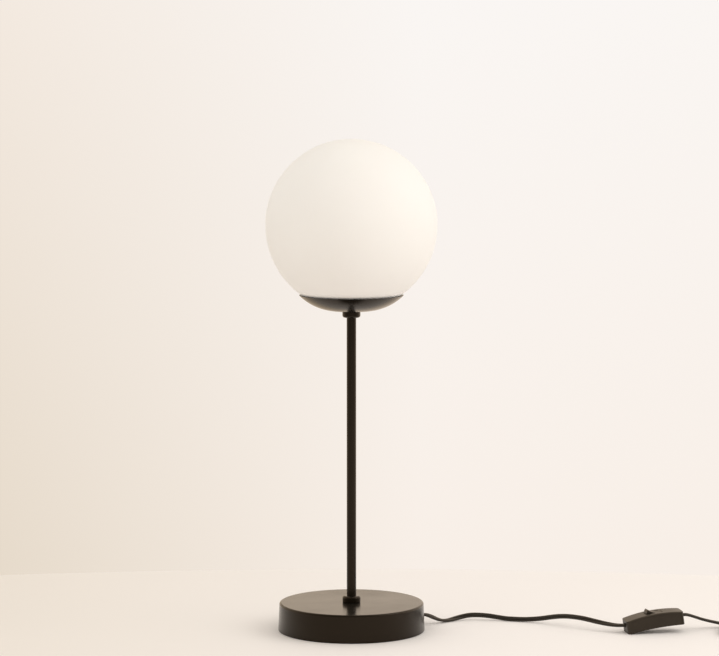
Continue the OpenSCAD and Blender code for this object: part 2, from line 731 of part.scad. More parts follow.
// Upper moulding of the lampholder
module holder_skirt() {
    r = holder_r - 0.6;
    inner = r - 1.8;
    h = holder_skirt_h;
    color(white) translate([0, 0, insert_z]) rotate_extrude() polygon([
        [inner + 1, 0], [r, 0], [r - 0.2, h - 1.2], [r - 1.2, h], [mouth_r, h], [mouth_r, h - 2],
        [inner, h - 2], [inner, 2.5], [inner + 1, 2.5]]);
}

// One core from the end of the sheath to its terminal
module core_to_terminal() {
    rotate([0, 0, exit_angle + 90]) tube([
        [1, 0, sheath_top, 0], [1, 0, sheath_top + 0.8, 0], [1.3, 0, stem_top - 0.3, 0],
        [2.2, 0, stem_top + 0.8, 0], [4, 0, stem_top + 1.9, 0], [5.6, 0, stem_top + 2.7, 0],
        [terminal_x, 0, terminal_z - 0.4, 0], [terminal_x, 0, terminal_z + 2, 0]],
        round_outline(core_r, 8), [0, 1, 0]);
}

module live_core() {
    color("#6b4326") core_to_terminal();
}

module neutral_core() {
    color("#3b5f9a") rotate([0, 0, 180]) core_to_terminal();
}

// Blown opal ball with a round lip about its hole
module globe() {
    cut = asin(lip_r / lip_ball);
    far = globe_r + 9;
    color("#f6f3ea") translate([0, 0, globe_z]) rotate_extrude($fn = 360) {
        intersection() {
            difference() {
                circle(globe_r, $fn = 360);
                circle(globe_r - glass_t, $fn = 360);
                polygon([[0, 0], [far * tan(cut), -far], [0, -far]]);
            }
            translate([0, -far]) square([far, 2 * far]);
        }
        translate([lip_r, lip_z - globe_z]) circle(glass_t / 2, $fn = 48);
    }
}

module bulb_ball() {
    foot_r = sqrt(pow(bulb_d / 2, 2) - pow(ball_z - ball_foot, 2));
    color("#fbf9f2") translate([0, 0, ball_z]) rotate_extrude() intersection() {
        difference() {
            circle(bulb_d / 2);
            circle(bulb_d / 2 - 1);
        }
        translate([0, ball_foot - ball_z]) square([bulb_d, bulb_d]);
    }
}

// Tapered plastic body between the screw cap and the ball
module bulb_collar() {
    top_r = sqrt(pow(bulb_d / 2, 2) - pow(ball_z - ball_foot, 2)) + 0.2;
    foot = holder_top + 0.8;
    color(white) rotate_extrude() polygon([
        [cap_d / 2 + fit, foot], [9.4, foot], [top_r, ball_foot], [top_r - 1.4, ball_foot],
        [cap_d / 2 + 1.2, cap_top + 1.2], [cap_d / 2 + fit, cap_top + 1.2]]);
}

// Screw cap with rolled thread, drawn as rings
module bulb_cap() {
    r = cap_d / 2;
    threads = 6;
    z0 = bulb_z + 4;
    color(steel) rotate_extrude() polygon(concat(
        [[r - 1.5, z0], [r - 0.75, z0]],
        [for (k = [0 : threads - 1], q = [[0.25, 0.75], [0.4, 0.15], [0.65, 0], [0.9, 0.55]])
            [r - q[1], z0 + (k + q[0]) * cap_pitch]],
        [[r - 0.2, z0 + threads * cap_pitch + 0.6], [r - 0.2, cap_top], [r - 1.5, cap_top]]));
}

module bulb_insulator() {
    color("#1d1a1e") translate([0, 0, bulb_z + 1]) cylinder(r1 = 2.9, r2 = cap_d / 2 - 0.9, h = 3);
}

module bulb_contact() {
    color(steel) translate([0, 0, bulb_z]) cylinder(r1 = 1.9, r2 = 2.4, h = 1);
}

// Disc with the light-emitting chips, just under the ball
module led_board() {
    r = sqrt(pow(bulb_d / 2, 2) - pow(ball_z - ball_foot, 2)) - 2.4;
    color("#e8e8e8") translate([0, 0, ball_foot - 1.6]) {
        cylinder(r = r, h = 1.2);
        for (a = [0 : 60 : 300]) rotate([0, 0, a])
            translate([r * 0.62 - 1.4, -1.4, 1.2]) cube([2.8, 2.8, 0.7]);
    }
}

module in_switch() {
    translate(switch_at) rotate([0, -switch_pitch, switch_yaw]) children();
}

// The switch's block under its domed roof, taken in by an inset on every side but the bottom
module switch_block(inset) {
    l = switch_l - 2 * inset;
    w = switch_w - 2 * inset;
    c = switch_corner - inset;
    r = bow(switch_crown) - inset;
    e = max(switch_edge - inset, 0.2);
    intersection() {
        translate([inset, 0, 0]) linear_extrude(roof_h + 1) {
            translate([c, -w / 2]) square([l - 2 * c, w]);
            translate([0, c - w / 2]) square([l, w - 2 * c]);
            for (x = [c, l - c], y = [c - w / 2, w / 2 - c]) translate([x, y]) circle(c);
        }
        translate([switch_l / 2, 0, roof_h - inset - r]) rotate([90, 0, 0]) rotate_extrude($fn = 360) {
            translate([0, -w / 2]) square([r - e, w]);
            translate([0, e - w / 2]) square([r, w - 2 * e]);
            for (y = [e - w / 2, w / 2 - e]) translate([r - e, y]) circle(e, $fn = 48);
        }
    }
}

module switch_hole() {
    translate([-1, 0, hole_z]) rotate([0, 90, 0]) linear_extrude(switch_l + 2) rotate(90) cord_shape(0.9);
}

// Ribs that pinch the cord inside each end
module grip_ribs(z0, z1) {
    for (x = [5.6, switch_l - 7.2]) translate([x, -4.5, z0]) cube([1.6, 9, z1 - z0]);
}

// Lower half, with a shallow hollow under its middle so that it stands on its ends
module switch_base() {
    arch_r = bow(switch_arch);
    color(black) in_switch() difference() {
        union() {
            difference() {
                intersection() {
                    switch_block(0);
                    translate([-1, -switch_w, 0]) cube([switch_l + 2, 2 * switch_w, hole_z]);
                }
                intersection() {
                    switch_block(switch_wall);
                    translate([-1, -switch_w, floor_z]) cube([switch_l + 2, 2 * switch_w, hole_z]);
                }
                switch_hole();
            }
            for (p = post_at) translate([p.x, p.y, floor_z - 1]) cylinder(r = 3.2, h = hole_z - floor_z + 1);
            grip_ribs(floor_z - 1, hole_z - cord_t / 2 - fit);
            for (y = [1.5, -2.5]) translate([pivot_x - 7, y, floor_z - 1]) cube([1.6, 1, 2.4]);
        }
        translate([switch_l / 2, 0, switch_arch - arch_r]) rotate([90, 0, 0])
            cylinder(r = arch_r, h = switch_w + 2, center = true, $fn = 360);
        for (p = post_at) translate([p.x, p.y, -1]) {
            cylinder(d = 2.6 + 2 * gap, h = hole_z + 2);
            cylinder(d = 5.2, h = seat_z + 1);
        }
    }
}

// Upper shell with the rocker's window, its two bearings and the screw posts
module switch_cover() {
    color(black) in_switch() difference() {
        union() {
            difference() {
                intersection() {
                    switch_block(0);
                    translate([-1, -switch_w, hole_z]) cube([switch_l + 2, 2 * switch_w, roof_h]);
                }
                intersection() {
                    switch_block(switch_wall);
                    translate([-1, -switch_w, hole_z - 1]) cube([switch_l + 2, 2 * switch_w, roof_h]);
                }
                switch_hole();
            }
            intersection() {
                switch_block(switch_wall / 2);
                union() {
                    for (s = [-1, 1])
                        translate([pivot_x - 3, s > 0 ? cheek_y : -cheek_y - 1.8, pivot_z - 2.4])
                            cube([6, 1.8, 10]);
                    for (p = post_at) translate([p.x, p.y, hole_z]) cylinder(r = 3, h = 10);
                    grip_ribs(hole_z + cord_t / 2 + fit, roof_h);
                }
            }
        }
        translate([pivot_x - rocker_r - gap, -cheek_y, pivot_z - 0.5])
            cube([rocker_l + 2 * gap, 2 * cheek_y, 10]);
        translate([pivot_x, 0, pivot_z]) rotate([90, 0, 0])
            cylinder(r = trunnion_r + fit, h = 2 * cheek_y + 3, center = true);
        for (p = post_at) translate([p.x, p.y, hole_z - 1]) cylinder(d = 2.6 + 2 * fit, h = 5.6);
    }
}

module switch_screws() {
    color(steel) in_switch() for (p = post_at) translate([p.x, p.y, seat_z]) rotate([180, 0, 0])
        pan_screw(4.6, 1.2, 2.6, hole_z + 4.2 - seat_z);
}

// Brass clamp block with a bore for the wire along X and one for its screw from above
module clamp_block(x) {
    difference() {
        translate([x, -2.5, floor_z]) cube([block_l, 5, 5.2]);
        translate([x - 1, 0, wire_z]) rotate([0, 90, 0]) cylinder(r = core_r + little, h = block_l + 2);
        translate([x + block_l / 2, 0, wire_z]) cylinder(r = 1.2 + fit, h = 5);
    }
}

// Fixed contact that the bridge rocks on
module line_contact() {
    color(brass) in_switch() {
        clamp_block(line_x);
        translate([line_x + block_l - 0.2, -1.2, floor_z]) cube([pivot_x - line_x - block_l + 0.6, 2.4, 0.6]);
        translate([pivot_x - 0.4, -2, floor_z]) cube([0.8, 4, bridge_pivot_z - floor_z]);
        translate([pivot_x, 2, bridge_pivot_z]) rotate([90, 0, 0]) cylinder(r = 0.4, h = 4);
    }
}

// Fixed contact that the bridge's right end meets when the lamp is on
module load_contact() {
    color(brass) in_switch() {
        clamp_block(load_x);
        translate([pivot_x + 4.4, -1.2, floor_z]) cube([load_x - pivot_x - 4.2, 2.4, 0.6]);
        translate([pivot_x + 6, 0, floor_z]) cylinder(r = 1.4, h = 1.4);
    }
}

module contact_screws() {
    color(steel) in_switch() for (x = [line_x, load_x]) translate([x + block_l / 2, 0, wire_z + core_r + fit])
        cylinder(r = 1.2, h = 2.4);
}

// Points of a core in the switch: x, y and its height, from 0 at a clamp block to 1 at the cord
function core_path(p) = [for (q = p) lead([q.x, q.y, wire_z + q.z * (hole_z - wire_z)])];
function lead(p) = concat(from_switch(p), [0]);

// Live cores from the cord's two ends to the clamp blocks
module live_leads() {
    right = load_x + block_l;
    cord_end = switch_l - grip_x;
    for (route = [
        [[grip_x, -1, 1], [grip_x + 0.8, -1, 1], [line_x - 2.4, -0.7, 0.8], [line_x - 1.2, -0.2, 0.3],
            [line_x - 0.1, 0, 0], [line_x + 1.8, 0, 0]],
        [[right - 1.8, 0, 0], [right + 0.1, 0, 0], [right + 1.2, -0.2, 0.3], [right + 2.4, -0.7, 0.8],
            [cord_end - 0.8, -1, 1], [cord_end, -1, 1]]])
        color("#6b4326") tube(core_path(route), round_outline(core_r, 8));
}

// Neutral core, which goes through uncut
module neutral_lead() {
    half = [[0, 1, 1], [0.8, 1, 1], [2.2, 2.2, 0.9], [3.8, 4.4, 0.6], [5.8, 6.3, 0.2], [9, 7.2, 0]];
    cord_end = switch_l - grip_x;
    route = concat([for (q = half) [grip_x + q.x, q.y, q.z]],
        [for (i = [len(half) - 1 : -1 : 0]) [cord_end - half[i].x, half[i].y, half[i].z]]);
    color("#3b5f9a") tube(core_path(route), round_outline(core_r, 8));
}

// Turns its child about the rocker's axis by an angle, right side down
module on_pivot(z, a) {
    in_switch() translate([pivot_x, 0, z]) rotate([0, a, 0]) children();
}

// Rocker pressed down on its right, its two round ends struck from the pivot
module rocker() {
    half = sqrt(pow(rocker_r, 2) - pow(rocker_tip, 2));
    dip_r = (pow(half, 2) + pow(rocker_dip, 2)) / (2 * rocker_dip);
    color(black) on_pivot(pivot_z, rocker_tilt) difference() {
        union() {
            rotate([90, 0, 0]) linear_extrude(rocker_w, center = true) difference() {
                intersection() {
                    circle(rocker_r, $fn = 180);
                    polygon([[-rocker_r, -0.8], [-5, -2.4], [5, -2.4], [rocker_r, -0.8],
                        [rocker_r, rocker_tip], [-rocker_r, rocker_tip]]);
                }
                translate([0, rocker_tip - rocker_dip + dip_r]) circle(dip_r, $fn = 240);
            }
            rotate([90, 0, 0]) cylinder(r = trunnion_r, h = 2 * cheek_y + 2.4, center = true);
            translate([0, 0, -5]) cylinder(r = plunger_r + 1.2, h = 4);
        }
        translate([0, 0, -6]) cylinder(r = plunger_r + fit + 0.05, h = 6.8);
    }
}

// Round-nosed pin that the spring presses on the bridge
module plunger() {
    color(white) on_pivot(pivot_z, rocker_tilt) translate([0, 0, plunger_r - plunger_tip]) {
        sphere(plunger_r);
        cylinder(r = plunger_r, h = plunger_tip - plunger_r - 2);
    }
}

module plunger_spring() {
    turns = 3;
    r = plunger_r - 0.25;
    color(steel) on_pivot(pivot_z, rocker_tilt) tube(
        [for (i = [0 : turns * 8]) [r * cos(45 * i), r * sin(45 * i), -1.7 + 2.2 * i / (turns * 8), 0]],
        round_outline(0.15, 6));
}

// Brass seesaw, resting with its left end down and its right contact open
module contact_bridge() {
    color(brass) on_pivot(bridge_pivot_z, -bridge_tilt)
        translate([-7, -2, bridge_rise]) cube([14, 4, bridge_t]);
}

module cord_to_switch() {
    start = [for (r = [exit_face, exit_face + 3]) [r * cos(exit_angle), r * sin(exit_angle), exit_z, 0]];
    finish = [lead([0, 0, hole_z]), lead([grip_x, 0, hole_z])];
    color(black) tube(concat(start, base_route, finish), cord_outline);
}

module cord_to_coil() {
    color(black) tube(concat([lead([switch_l - grip_x, 0, hole_z]), lead([switch_l, 0, hole_z])], coil_route,
        [concat(coil_first, [0])]), cord_outline);
}

// Put-away length of cord, wound in below and out above
module cord_coil() {
    color(black) tube([for (p = coil_rings) concat(p, [0])], coil_outline);
}

module cord_to_plug() {
    start = [for (y = [0, cord_w / 2]) concat(coil_last + [0, y, 0], [0])];
    color(black) tube(concat(start, tail_route,
        [concat(plug_at + [0, cord_w, 0], [0]), concat(plug_at, [0])]), cord_outline);
}

// Puts X from the small end of the plug's sleeve towards its pins
module in_plug() {
    translate(plug_at) rotate([0, 0, -90]) children();
}

module plug_body() {
    wide = plug_w / 2;
    color(black) in_plug() difference() {
        union() {
            difference() {
                rotate([0, 90, 0]) cylinder(r1 = 3.6, r2 = 5.8, h = relief_l + 2);
                for (x = [4 : 4 : relief_l - 4]) translate([x, 0, 0]) rotate([0, 90, 0])
                    flat_ring(3.2 + 0.08 * x, 9, 1.4);
            }
            intersection() {
                translate([relief_l, 0, 0]) rotate([0, 90, 0]) linear_extrude(plug_l) rotate(90) {
                    square([plug_w - plug_t, plug_t], center = true);
                    for (s = [-1, 1]) translate([s * (plug_w - plug_t) / 2, 0]) circle(plug_t / 2);
                }
                translate([relief_l, 0, -plug_t]) linear_extrude(2 * plug_t) polygon([
                    [0, -6.4], [7, -wide + 3], [12, -wide], [plug_l, -wide],
                    [plug_l, wide], [12, wide], [7, wide - 3], [0, 6.4]]);
            }
        }
        for (y = [-pin_pitch / 2, pin_pitch / 2]) translate([pin_z0 - pin_grip, y, 0]) rotate([0, 90, 0])
            cylinder(r = pin_core_d / 2 + fit, h = pin_grip + 1);
    }
}

module plug_pins() {
    color(steel) in_plug() for (y = [-pin_pitch / 2, pin_pitch / 2])
        translate([pin_z0, y, 0]) rotate([0, 90, 0]) {
            translate([0, 0, -pin_grip]) cylinder(d = pin_core_d, h = pin_grip + sleeve_l + 1);
            translate([0, 0, sleeve_l]) cylinder(d = pin_d, h = pin_l - sleeve_l - 1);
            translate([0, 0, pin_l - 1]) cylinder(d1 = pin_d, d2 = pin_d - 1.6, h = 1);
        }
}

module pin_sleeves() {
    color(black) in_plug() for (y = [-pin_pitch / 2, pin_pitch / 2])
        translate([pin_z0, y, 0]) rotate([0, 90, 0]) flat_ring(pin_core_d / 2 + fit, sleeve_d / 2, sleeve_l);
}

base_cover();
base_weight();
base_pad();
cord_grommet();
cord_clamp();
clamp_screws();
inner_cord();
base_washer();
base_nut();
lower_collar();
stem_tube();
upper_collar();
dish();
clip_plate();
spring_clips();
clip_rivets();
seat_ring();
lock_washer();
dish_nut();
holder_cap();
holder_insert();
screw_shell();
centre_contact();
holder_terminals();
terminal_screws();
holder_skirt();
live_core();
neutral_core();
globe();
bulb_ball();
bulb_collar();
bulb_cap();
bulb_insulator();
bulb_contact();
led_board();
switch_base();
switch_cover();
switch_screws();
line_contact();
load_contact();
contact_screws();
live_leads();
neutral_lead();
rocker();
plunger();
plunger_spring();
contact_bridge();
cord_to_switch();
cord_to_coil();
cord_coil();
cord_to_plug();
plug_body();
plug_pins();
pin_sleeves();
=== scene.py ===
# %% [markdown]
# # A globe table lamp
# An opal glass ball sits in a shallow steel dish on a thin stem. The stem stands in a round weighted
# base, and a flat two-core cord runs over the table to a rocker switch and on to a coil and a plug.
# The solid parts come ready made from the construction model. This lesson gives them their finishes,
# and models what a solid model shows badly: the cord, which bends and twists, and the moulded plug.

# %% Load the construction model
import math

import bpy
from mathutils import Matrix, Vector


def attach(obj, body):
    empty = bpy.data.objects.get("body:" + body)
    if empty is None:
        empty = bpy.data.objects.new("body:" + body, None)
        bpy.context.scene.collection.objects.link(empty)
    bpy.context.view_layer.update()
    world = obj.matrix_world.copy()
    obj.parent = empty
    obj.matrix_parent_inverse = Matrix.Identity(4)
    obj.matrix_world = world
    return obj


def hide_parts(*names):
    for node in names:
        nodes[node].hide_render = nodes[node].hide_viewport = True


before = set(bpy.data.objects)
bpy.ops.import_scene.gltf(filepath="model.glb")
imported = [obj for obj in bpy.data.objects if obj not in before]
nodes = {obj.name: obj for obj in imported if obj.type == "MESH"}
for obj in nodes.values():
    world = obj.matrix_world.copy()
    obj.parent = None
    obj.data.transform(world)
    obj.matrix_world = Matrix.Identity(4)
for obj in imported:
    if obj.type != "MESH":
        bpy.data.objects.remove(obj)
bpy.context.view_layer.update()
MM = 0.001


def as_mm(place):
    return [round(length / MM, 1) for length in place]


# %% [markdown]
# ## The camera
# The lamp was seen from far away with a long lens, a little above the middle of its stem and looking
# slightly down. A distant camera keeps the stem straight and shows the base as a flat ellipse. The
# place, the pitch and the lens come from the ellipses of the base and the dish: their heights on the
# picture fix how high the eye stands, and their widths fix how far away it is.

# %% Place the camera
CAMERA_AT = (8.48 * MM, -3072.6 * MM, 603.7 * MM)
CAMERA_PITCH = math.radians(5.259)
CAMERA_LENS = 147.19
SENSOR_WIDE = 36

bpy.ops.object.camera_add(location=CAMERA_AT, rotation=(math.pi / 2 - CAMERA_PITCH, 0, 0))
camera = bpy.context.object
camera.name = "camera"
camera.data.lens = CAMERA_LENS
camera.data.sensor_width = SENSOR_WIDE
camera.data.clip_start, camera.data.clip_end = 0.1, 20
bpy.context.scene.camera = camera
bpy.context.scene.view_settings.view_transform = "Standard"
print("camera stands at, mm:", as_mm(CAMERA_AT), "lens, mm:", CAMERA_LENS)


# %% [markdown]
# ## The cord's section
# A flat lamp cord is two round insulated wires moulded side by side, so its outline is two circles
# that overlap, with a narrow seam along the middle of each wide side, where the two can be pulled apart.
# A curve with a round bevel can't show that seam. A mesh tube can: the outline is drawn once and
# repeated as a ring at each step of the way. Only the right half is worked out, from the seam round the
# right wire and back to the seam, and the left half is the same turned by half a turn.

# %% Draw the twin outline
CORD_WIDE = 5.2 * MM
CORD_THICK = 3.2 * MM
SEAM_DEEP = 0.75 * MM
SEAM_OPEN = 0.35 * MM
CORNERS_A_WIRE = 11


def twin_outline():
    lobe_at, lobe_r = (CORD_WIDE - CORD_THICK) / 2, CORD_THICK / 2
    lip = math.acos((SEAM_OPEN - lobe_at) / lobe_r)
    right = [(0.0, SEAM_DEEP - lobe_r)]
    for k in range(CORNERS_A_WIRE):
        angle = -lip + 2 * lip * k / (CORNERS_A_WIRE - 1)
        right.append((lobe_at + lobe_r * math.cos(angle), lobe_r * math.sin(angle)))
    left = [(-x, -y) for x, y in right]
    return right + left


outline = twin_outline()
print("points round the cord:", len(outline))


# %% [markdown]
# ## A smooth way through given points
# A cord is stiff enough that it never has a corner. The way is given as a few points, each with the
# roll of the cord's wide side, and a curve through them fills in the rest. Each point's slope is a mean
# of the slopes on its two sides, weighted so that a short side counts more, which keeps the curve from
# swinging out where points lie close together.

# %% Fill in a way between points
def smooth_way(points, steps):
    p = [Vector(q) for q in points]
    gaps = [(b.xyz - a.xyz).length for a, b in zip(p, p[1:])]
    slopes = [(p[1] - p[0]) / gaps[0]]
    for i in range(1, len(p) - 1):
        before, after = (p[i] - p[i - 1]) / gaps[i - 1], (p[i + 1] - p[i]) / gaps[i]
        slopes.append((before * gaps[i] + after * gaps[i - 1]) / (gaps[i] + gaps[i - 1]))
    slopes.append((p[-1] - p[-2]) / gaps[-1])
    way = []
    for i, gap in enumerate(gaps):
        for k in range(steps):
            t = k / steps
            way.append(p[i] * (1 - t) ** 2 * (1 + 2 * t) + slopes[i] * gap * t * (1 - t) ** 2
                       + p[i + 1] * t * t * (3 - 2 * t) - slopes[i + 1] * gap * t * t * (1 - t))
    return way + [p[-1]]


def way_length(way):
    return sum((b.xyz - a.xyz).length for a, b in zip(way, way[1:]))


def in_mm(x, y, z, roll=0.0):
    return Vector((x * MM, y * MM, z * MM, roll))


hump = smooth_way([in_mm(0, 0, 0), in_mm(10, 0, 4), in_mm(20, 0, 0)], 5)
print("a way over a hump of 20 mm has", len(hump), "steps and is, mm:", round(way_length(hump) / MM, 1))


# %% [markdown]
# ## From a way to a cord
# At each step the ring stands square to the way, with its wide side turned by the roll. Neighbouring
# rings are joined by faces, and the two ends are closed.

# %% Set a ring at each step of a way
def rings_along(way):
    corners, last = [], len(way) - 1
    for i, point in enumerate(way):
        ahead = (way[min(i + 1, last)].xyz - way[max(i - 1, 0)].xyz).normalized()
        side = Vector((0, 0, 1)).cross(ahead).normalized()
        up = ahead.cross(side)
        roll = math.radians(point.w)
        wide = side * math.cos(roll) + up * math.sin(roll)
        thick = up * math.cos(roll) - side * math.sin(roll)
        corners += [point.xyz + wide * x + thick * y for x, y in outline]
    return corners


def faces_between(rings):
    count, faces = len(outline), []
    for i in range(rings - 1):
        for j in range(count):
            k = (j + 1) % count
            faces.append((i * count + j, i * count + k, (i + 1) * count + k, (i + 1) * count + j))
    faces.append(tuple(range(count))[::-1])
    faces.append(tuple((rings - 1) * count + j for j in range(count)))
    return faces


print("corners over the hump:", len(rings_along(hump)), "faces:", len(faces_between(len(hump))))


# %% [markdown]
# The surface also gets a map: one direction goes round the cord and the other along it in metres, so that
# a pattern can follow every bend. The last face of each ring closes the round, so there the first corner
# counts as 1 and not as 0.

# %% Sweep the outline along a way
def map_along(mesh, way):
    count, travelled = len(outline), [0.0]
    for a, b in zip(way, way[1:]):
        travelled.append(travelled[-1] + (b.xyz - a.xyz).length)
    layer = mesh.uv_layers.new(name="along")
    for face in mesh.polygons:
        rows = [mesh.loops[k].vertex_index for k in face.loop_indices]
        spots = [row % count for row in rows]
        closes = len(rows) == 4 and max(spots) == count - 1 and min(spots) == 0
        for k, row, spot in zip(face.loop_indices, rows, spots):
            layer.data[k].uv = (1.0 if closes and spot == 0 else spot / count, travelled[row // count])


def select_only(*pieces):
    bpy.ops.object.select_all(action="DESELECT")
    for piece in pieces:
        piece.select_set(True)
    bpy.context.view_layer.objects.active = pieces[0]


def sweep_cord(name, way):
    mesh = bpy.data.meshes.new(name)
    mesh.from_pydata(rings_along(way), [], faces_between(len(way)))
    map_along(mesh, way)
    mesh.validate()
    piece = bpy.data.objects.new(name, mesh)
    bpy.context.scene.collection.objects.link(piece)
    select_only(piece)
    bpy.ops.object.shade_smooth_by_angle(angle=math.radians(35))
    print(name, "is, mm:", round(way_length(way) / MM, 1), "faces:", len(mesh.polygons))
    return piece


# %% [markdown]
# ## Where the switch lies
# The switch leans on its left end, because the stiff cord on its right holds that end up. Its own frame
# starts in the middle of its left foot, runs along its length and is turned by a yaw and a pitch. Points
# given in that frame are carried into the lamp's frame by one short function. The mouth is the height at
# which the cord goes in at either end, and the grip is how far it goes in.

# %% Points in the switch's own frame
SWITCH_AT = Vector((289.4, -16.9, 0)) * MM
SWITCH_YAW = math.radians(9.6)
SWITCH_PITCH = math.radians(8.5)
SWITCH_LONG = 62 * MM
SWITCH_MOUTH = 8.1 * MM
SWITCH_GRIP = 9 * MM


def from_switch(x, y, z):
    along = x * math.cos(SWITCH_PITCH) - z * math.sin(SWITCH_PITCH)
    high = x * math.sin(SWITCH_PITCH) + z * math.cos(SWITCH_PITCH)
    return SWITCH_AT + Vector((along * math.cos(SWITCH_YAW) - y * math.sin(SWITCH_YAW),
                               along * math.sin(SWITCH_YAW) + y * math.cos(SWITCH_YAW), high))


def cord_in_switch(x):
    return Vector((*from_switch(x, 0, SWITCH_MOUTH), 0.0))


print("the switch takes the cord at, mm:", as_mm(cord_in_switch(0).xyz))


# %% [markdown]
# ## From the base to the switch
# The cord leaves the base level, drops to the table and turns on its edge. A flat cord bends easily
# over its thin side only, so it rises and falls in two long low waves between its places of rest, and
# lies flat again where the switch takes it. The route is the construction model's own: each row is a
# point in mm and the cord's roll there in degrees.

# %% Lay the first length of cord
EXIT_R = 78.6 * MM
EXIT_ANGLE = math.radians(19)
EXIT_HIGH = 11 * MM
TO_SWITCH = (
    (79.6, 27.5, 10.6, 10), (84, 29.2, 8.9, 30), (88.5, 31.5, 6.6, 30), (93, 34.5, 4.3, 15),
    (98, 38.3, 2.5, 0), (103.5, 42.3, 2, 5), (109.5, 46, 2.6, 40), (117.5, 50, 4, 70),
    (127, 52.5, 5.4, 80), (137, 53, 5.5, 90), (147, 52, 4.9, 90), (156.5, 50, 3.8, 90),
    (166, 47, 2.9, 90), (176, 44.5, 2.7, 90), (185.5, 41.5, 3, 90), (195, 38.5, 3.9, 90),
    (204.5, 35, 5.4, 90), (213, 30.5, 7.5, 90), (221.5, 25, 9.4, 90), (229.5, 19, 10.6, 90),
    (237.5, 12.7, 11, 90), (245.5, 6, 10.9, 80), (253, -0.6, 10.3, 65), (261, -7.2, 9.5, 50),
    (269.5, -12.6, 8.6, 35), (278.7, -16.2, 7.9, 15))


def at_exit(out):
    far = EXIT_R + out
    return Vector((far * math.cos(EXIT_ANGLE), far * math.sin(EXIT_ANGLE), EXIT_HIGH, 0.0))


base_way = smooth_way([at_exit(0), at_exit(3 * MM), *(in_mm(*row) for row in TO_SWITCH),
                       cord_in_switch(0), cord_in_switch(SWITCH_GRIP)], 5)
cord_from_base = sweep_cord("cord_from_base", base_way)
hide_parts("cord_to_switch")
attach(cord_from_base, "lamp")


# %% [markdown]
# ## From the switch to the plug
# The rest of the cord is put away in a neat round coil beside the switch. It winds inwards on the table,
# climbs while it turns back, and winds outwards on top of the first layer. Its end runs over the coil to
# the plug. One function gives the coil's centre after any number of turns, as the construction model has
# it. The step is what the radius changes in a turn, and the layer is how far the coil climbs.

# %% The coil's centre line
COIL_TURNS_IN, COIL_TURNS_OUT = 3, 3.25
COIL_STEP = 5.75 * MM
COIL_LAYER = 3.8 * MM
COIL_INSIDE = 4 * CORD_WIDE + COIL_STEP / 4
COIL_OUTSIDE = COIL_INSIDE + COIL_TURNS_IN * COIL_STEP
COIL_AT = Vector((432 * MM, 12.5 * MM - COIL_OUTSIDE))
COIL_TURNS = COIL_TURNS_IN + 0.5 + COIL_TURNS_OUT
RINGS_A_TURN = 24


def coil_point(turns):
    radius = (COIL_OUTSIDE - COIL_STEP * turns if turns < COIL_TURNS_IN + 0.25
              else COIL_INSIDE + COIL_STEP * (turns - COIL_TURNS_IN - 0.5))
    climb = min(max((turns - COIL_TURNS_IN) * 2, 0), 1)
    high = CORD_THICK / 2 + COIL_LAYER * climb * climb * (3 - 2 * climb)
    angle = 2 * math.pi * turns
    return Vector((COIL_AT.x + radius * math.sin(angle), COIL_AT.y + radius * math.cos(angle), high, 0.0))


coil_way = [coil_point(i / RINGS_A_TURN) for i in range(int(COIL_TURNS * RINGS_A_TURN) + 1)]
print("coil outside, mm:", round((2 * COIL_OUTSIDE + CORD_WIDE) / MM, 1), "turns:", COIL_TURNS)

# %% [markdown]
# The way to the coil comes down from the raised end of the switch and reaches the coil along its round.
# The way from the coil's end climbs over the turns to the plug, which lies on top of them. Both are the
# construction model's routes again, and the cord keeps its wide side level all the way.

# %% Lay the second length of cord
PLUG_HIGH = 6.95 * MM
PLUG_AT = Vector((COIL_AT.x + 21 * MM, COIL_AT.y + 14 * MM, CORD_THICK + COIL_LAYER + PLUG_HIGH))
TO_COIL = (
    (353.6, -5.7, 17.2), (358, -4.4, 16.1), (362.5, -2.6, 14.4), (371.8, 2, 10.7), (381.3, 6.6, 7.6),
    (391, 10.1, 5), (401, 11.8, 2.8), (411, 12.5, 1.8), (420.5, 12.5, 1.6))
TO_PLUG = (
    (391.6, -13, 6), (394, -5.5, 6.9), (398, 1.5, 7.7), (404, 7.8, 8.5), (411.5, 12, 9.2),
    (420, 14, 9.9), (428.5, 14, 10.6), (436.5, 12, 11.3), (443.5, 8, 12), (448.8, 2, 12.7), (452, -5, 13.4))

run_way = [cord_in_switch(SWITCH_LONG - SWITCH_GRIP), cord_in_switch(SWITCH_LONG),
           *(in_mm(*row) for row in TO_COIL), coil_way[0] - Vector((CORD_WIDE, 0, 0, 0))]
tail_way = [coil_way[-1] + Vector((0, CORD_WIDE, 0, 0)), coil_way[-1] + Vector((0, 1.5 * CORD_WIDE, 0, 0)),
            *(in_mm(*row) for row in TO_PLUG),
            Vector((PLUG_AT.x, PLUG_AT.y + CORD_WIDE, PLUG_AT.z, 0)), Vector((*PLUG_AT, 0))]
plug_way = smooth_way(run_way + coil_way + tail_way, 3)
cord_to_plug = sweep_cord("cord_from_switch", plug_way)
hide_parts("cord_to_coil", "cord_coil", "cord_to_plug")
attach(cord_to_plug, "lamp")


# %% [markdown]
# ## The plug's moulded body
# The plug is soft plastic moulded round its pins: a ribbed tapered sleeve that protects the cord, then a
# flat body that widens to its full size, with shallow grooves for the fingers. Both are grown from a ring
# that is extruded step by step and resized at each step, which is quick, and gives each groove its slopes.

# %% Grow a form from a ring, step by step
RING_CORNERS = 48


def plug_centre(out):
    return (PLUG_AT.x, PLUG_AT.y - out, PLUG_AT.z)


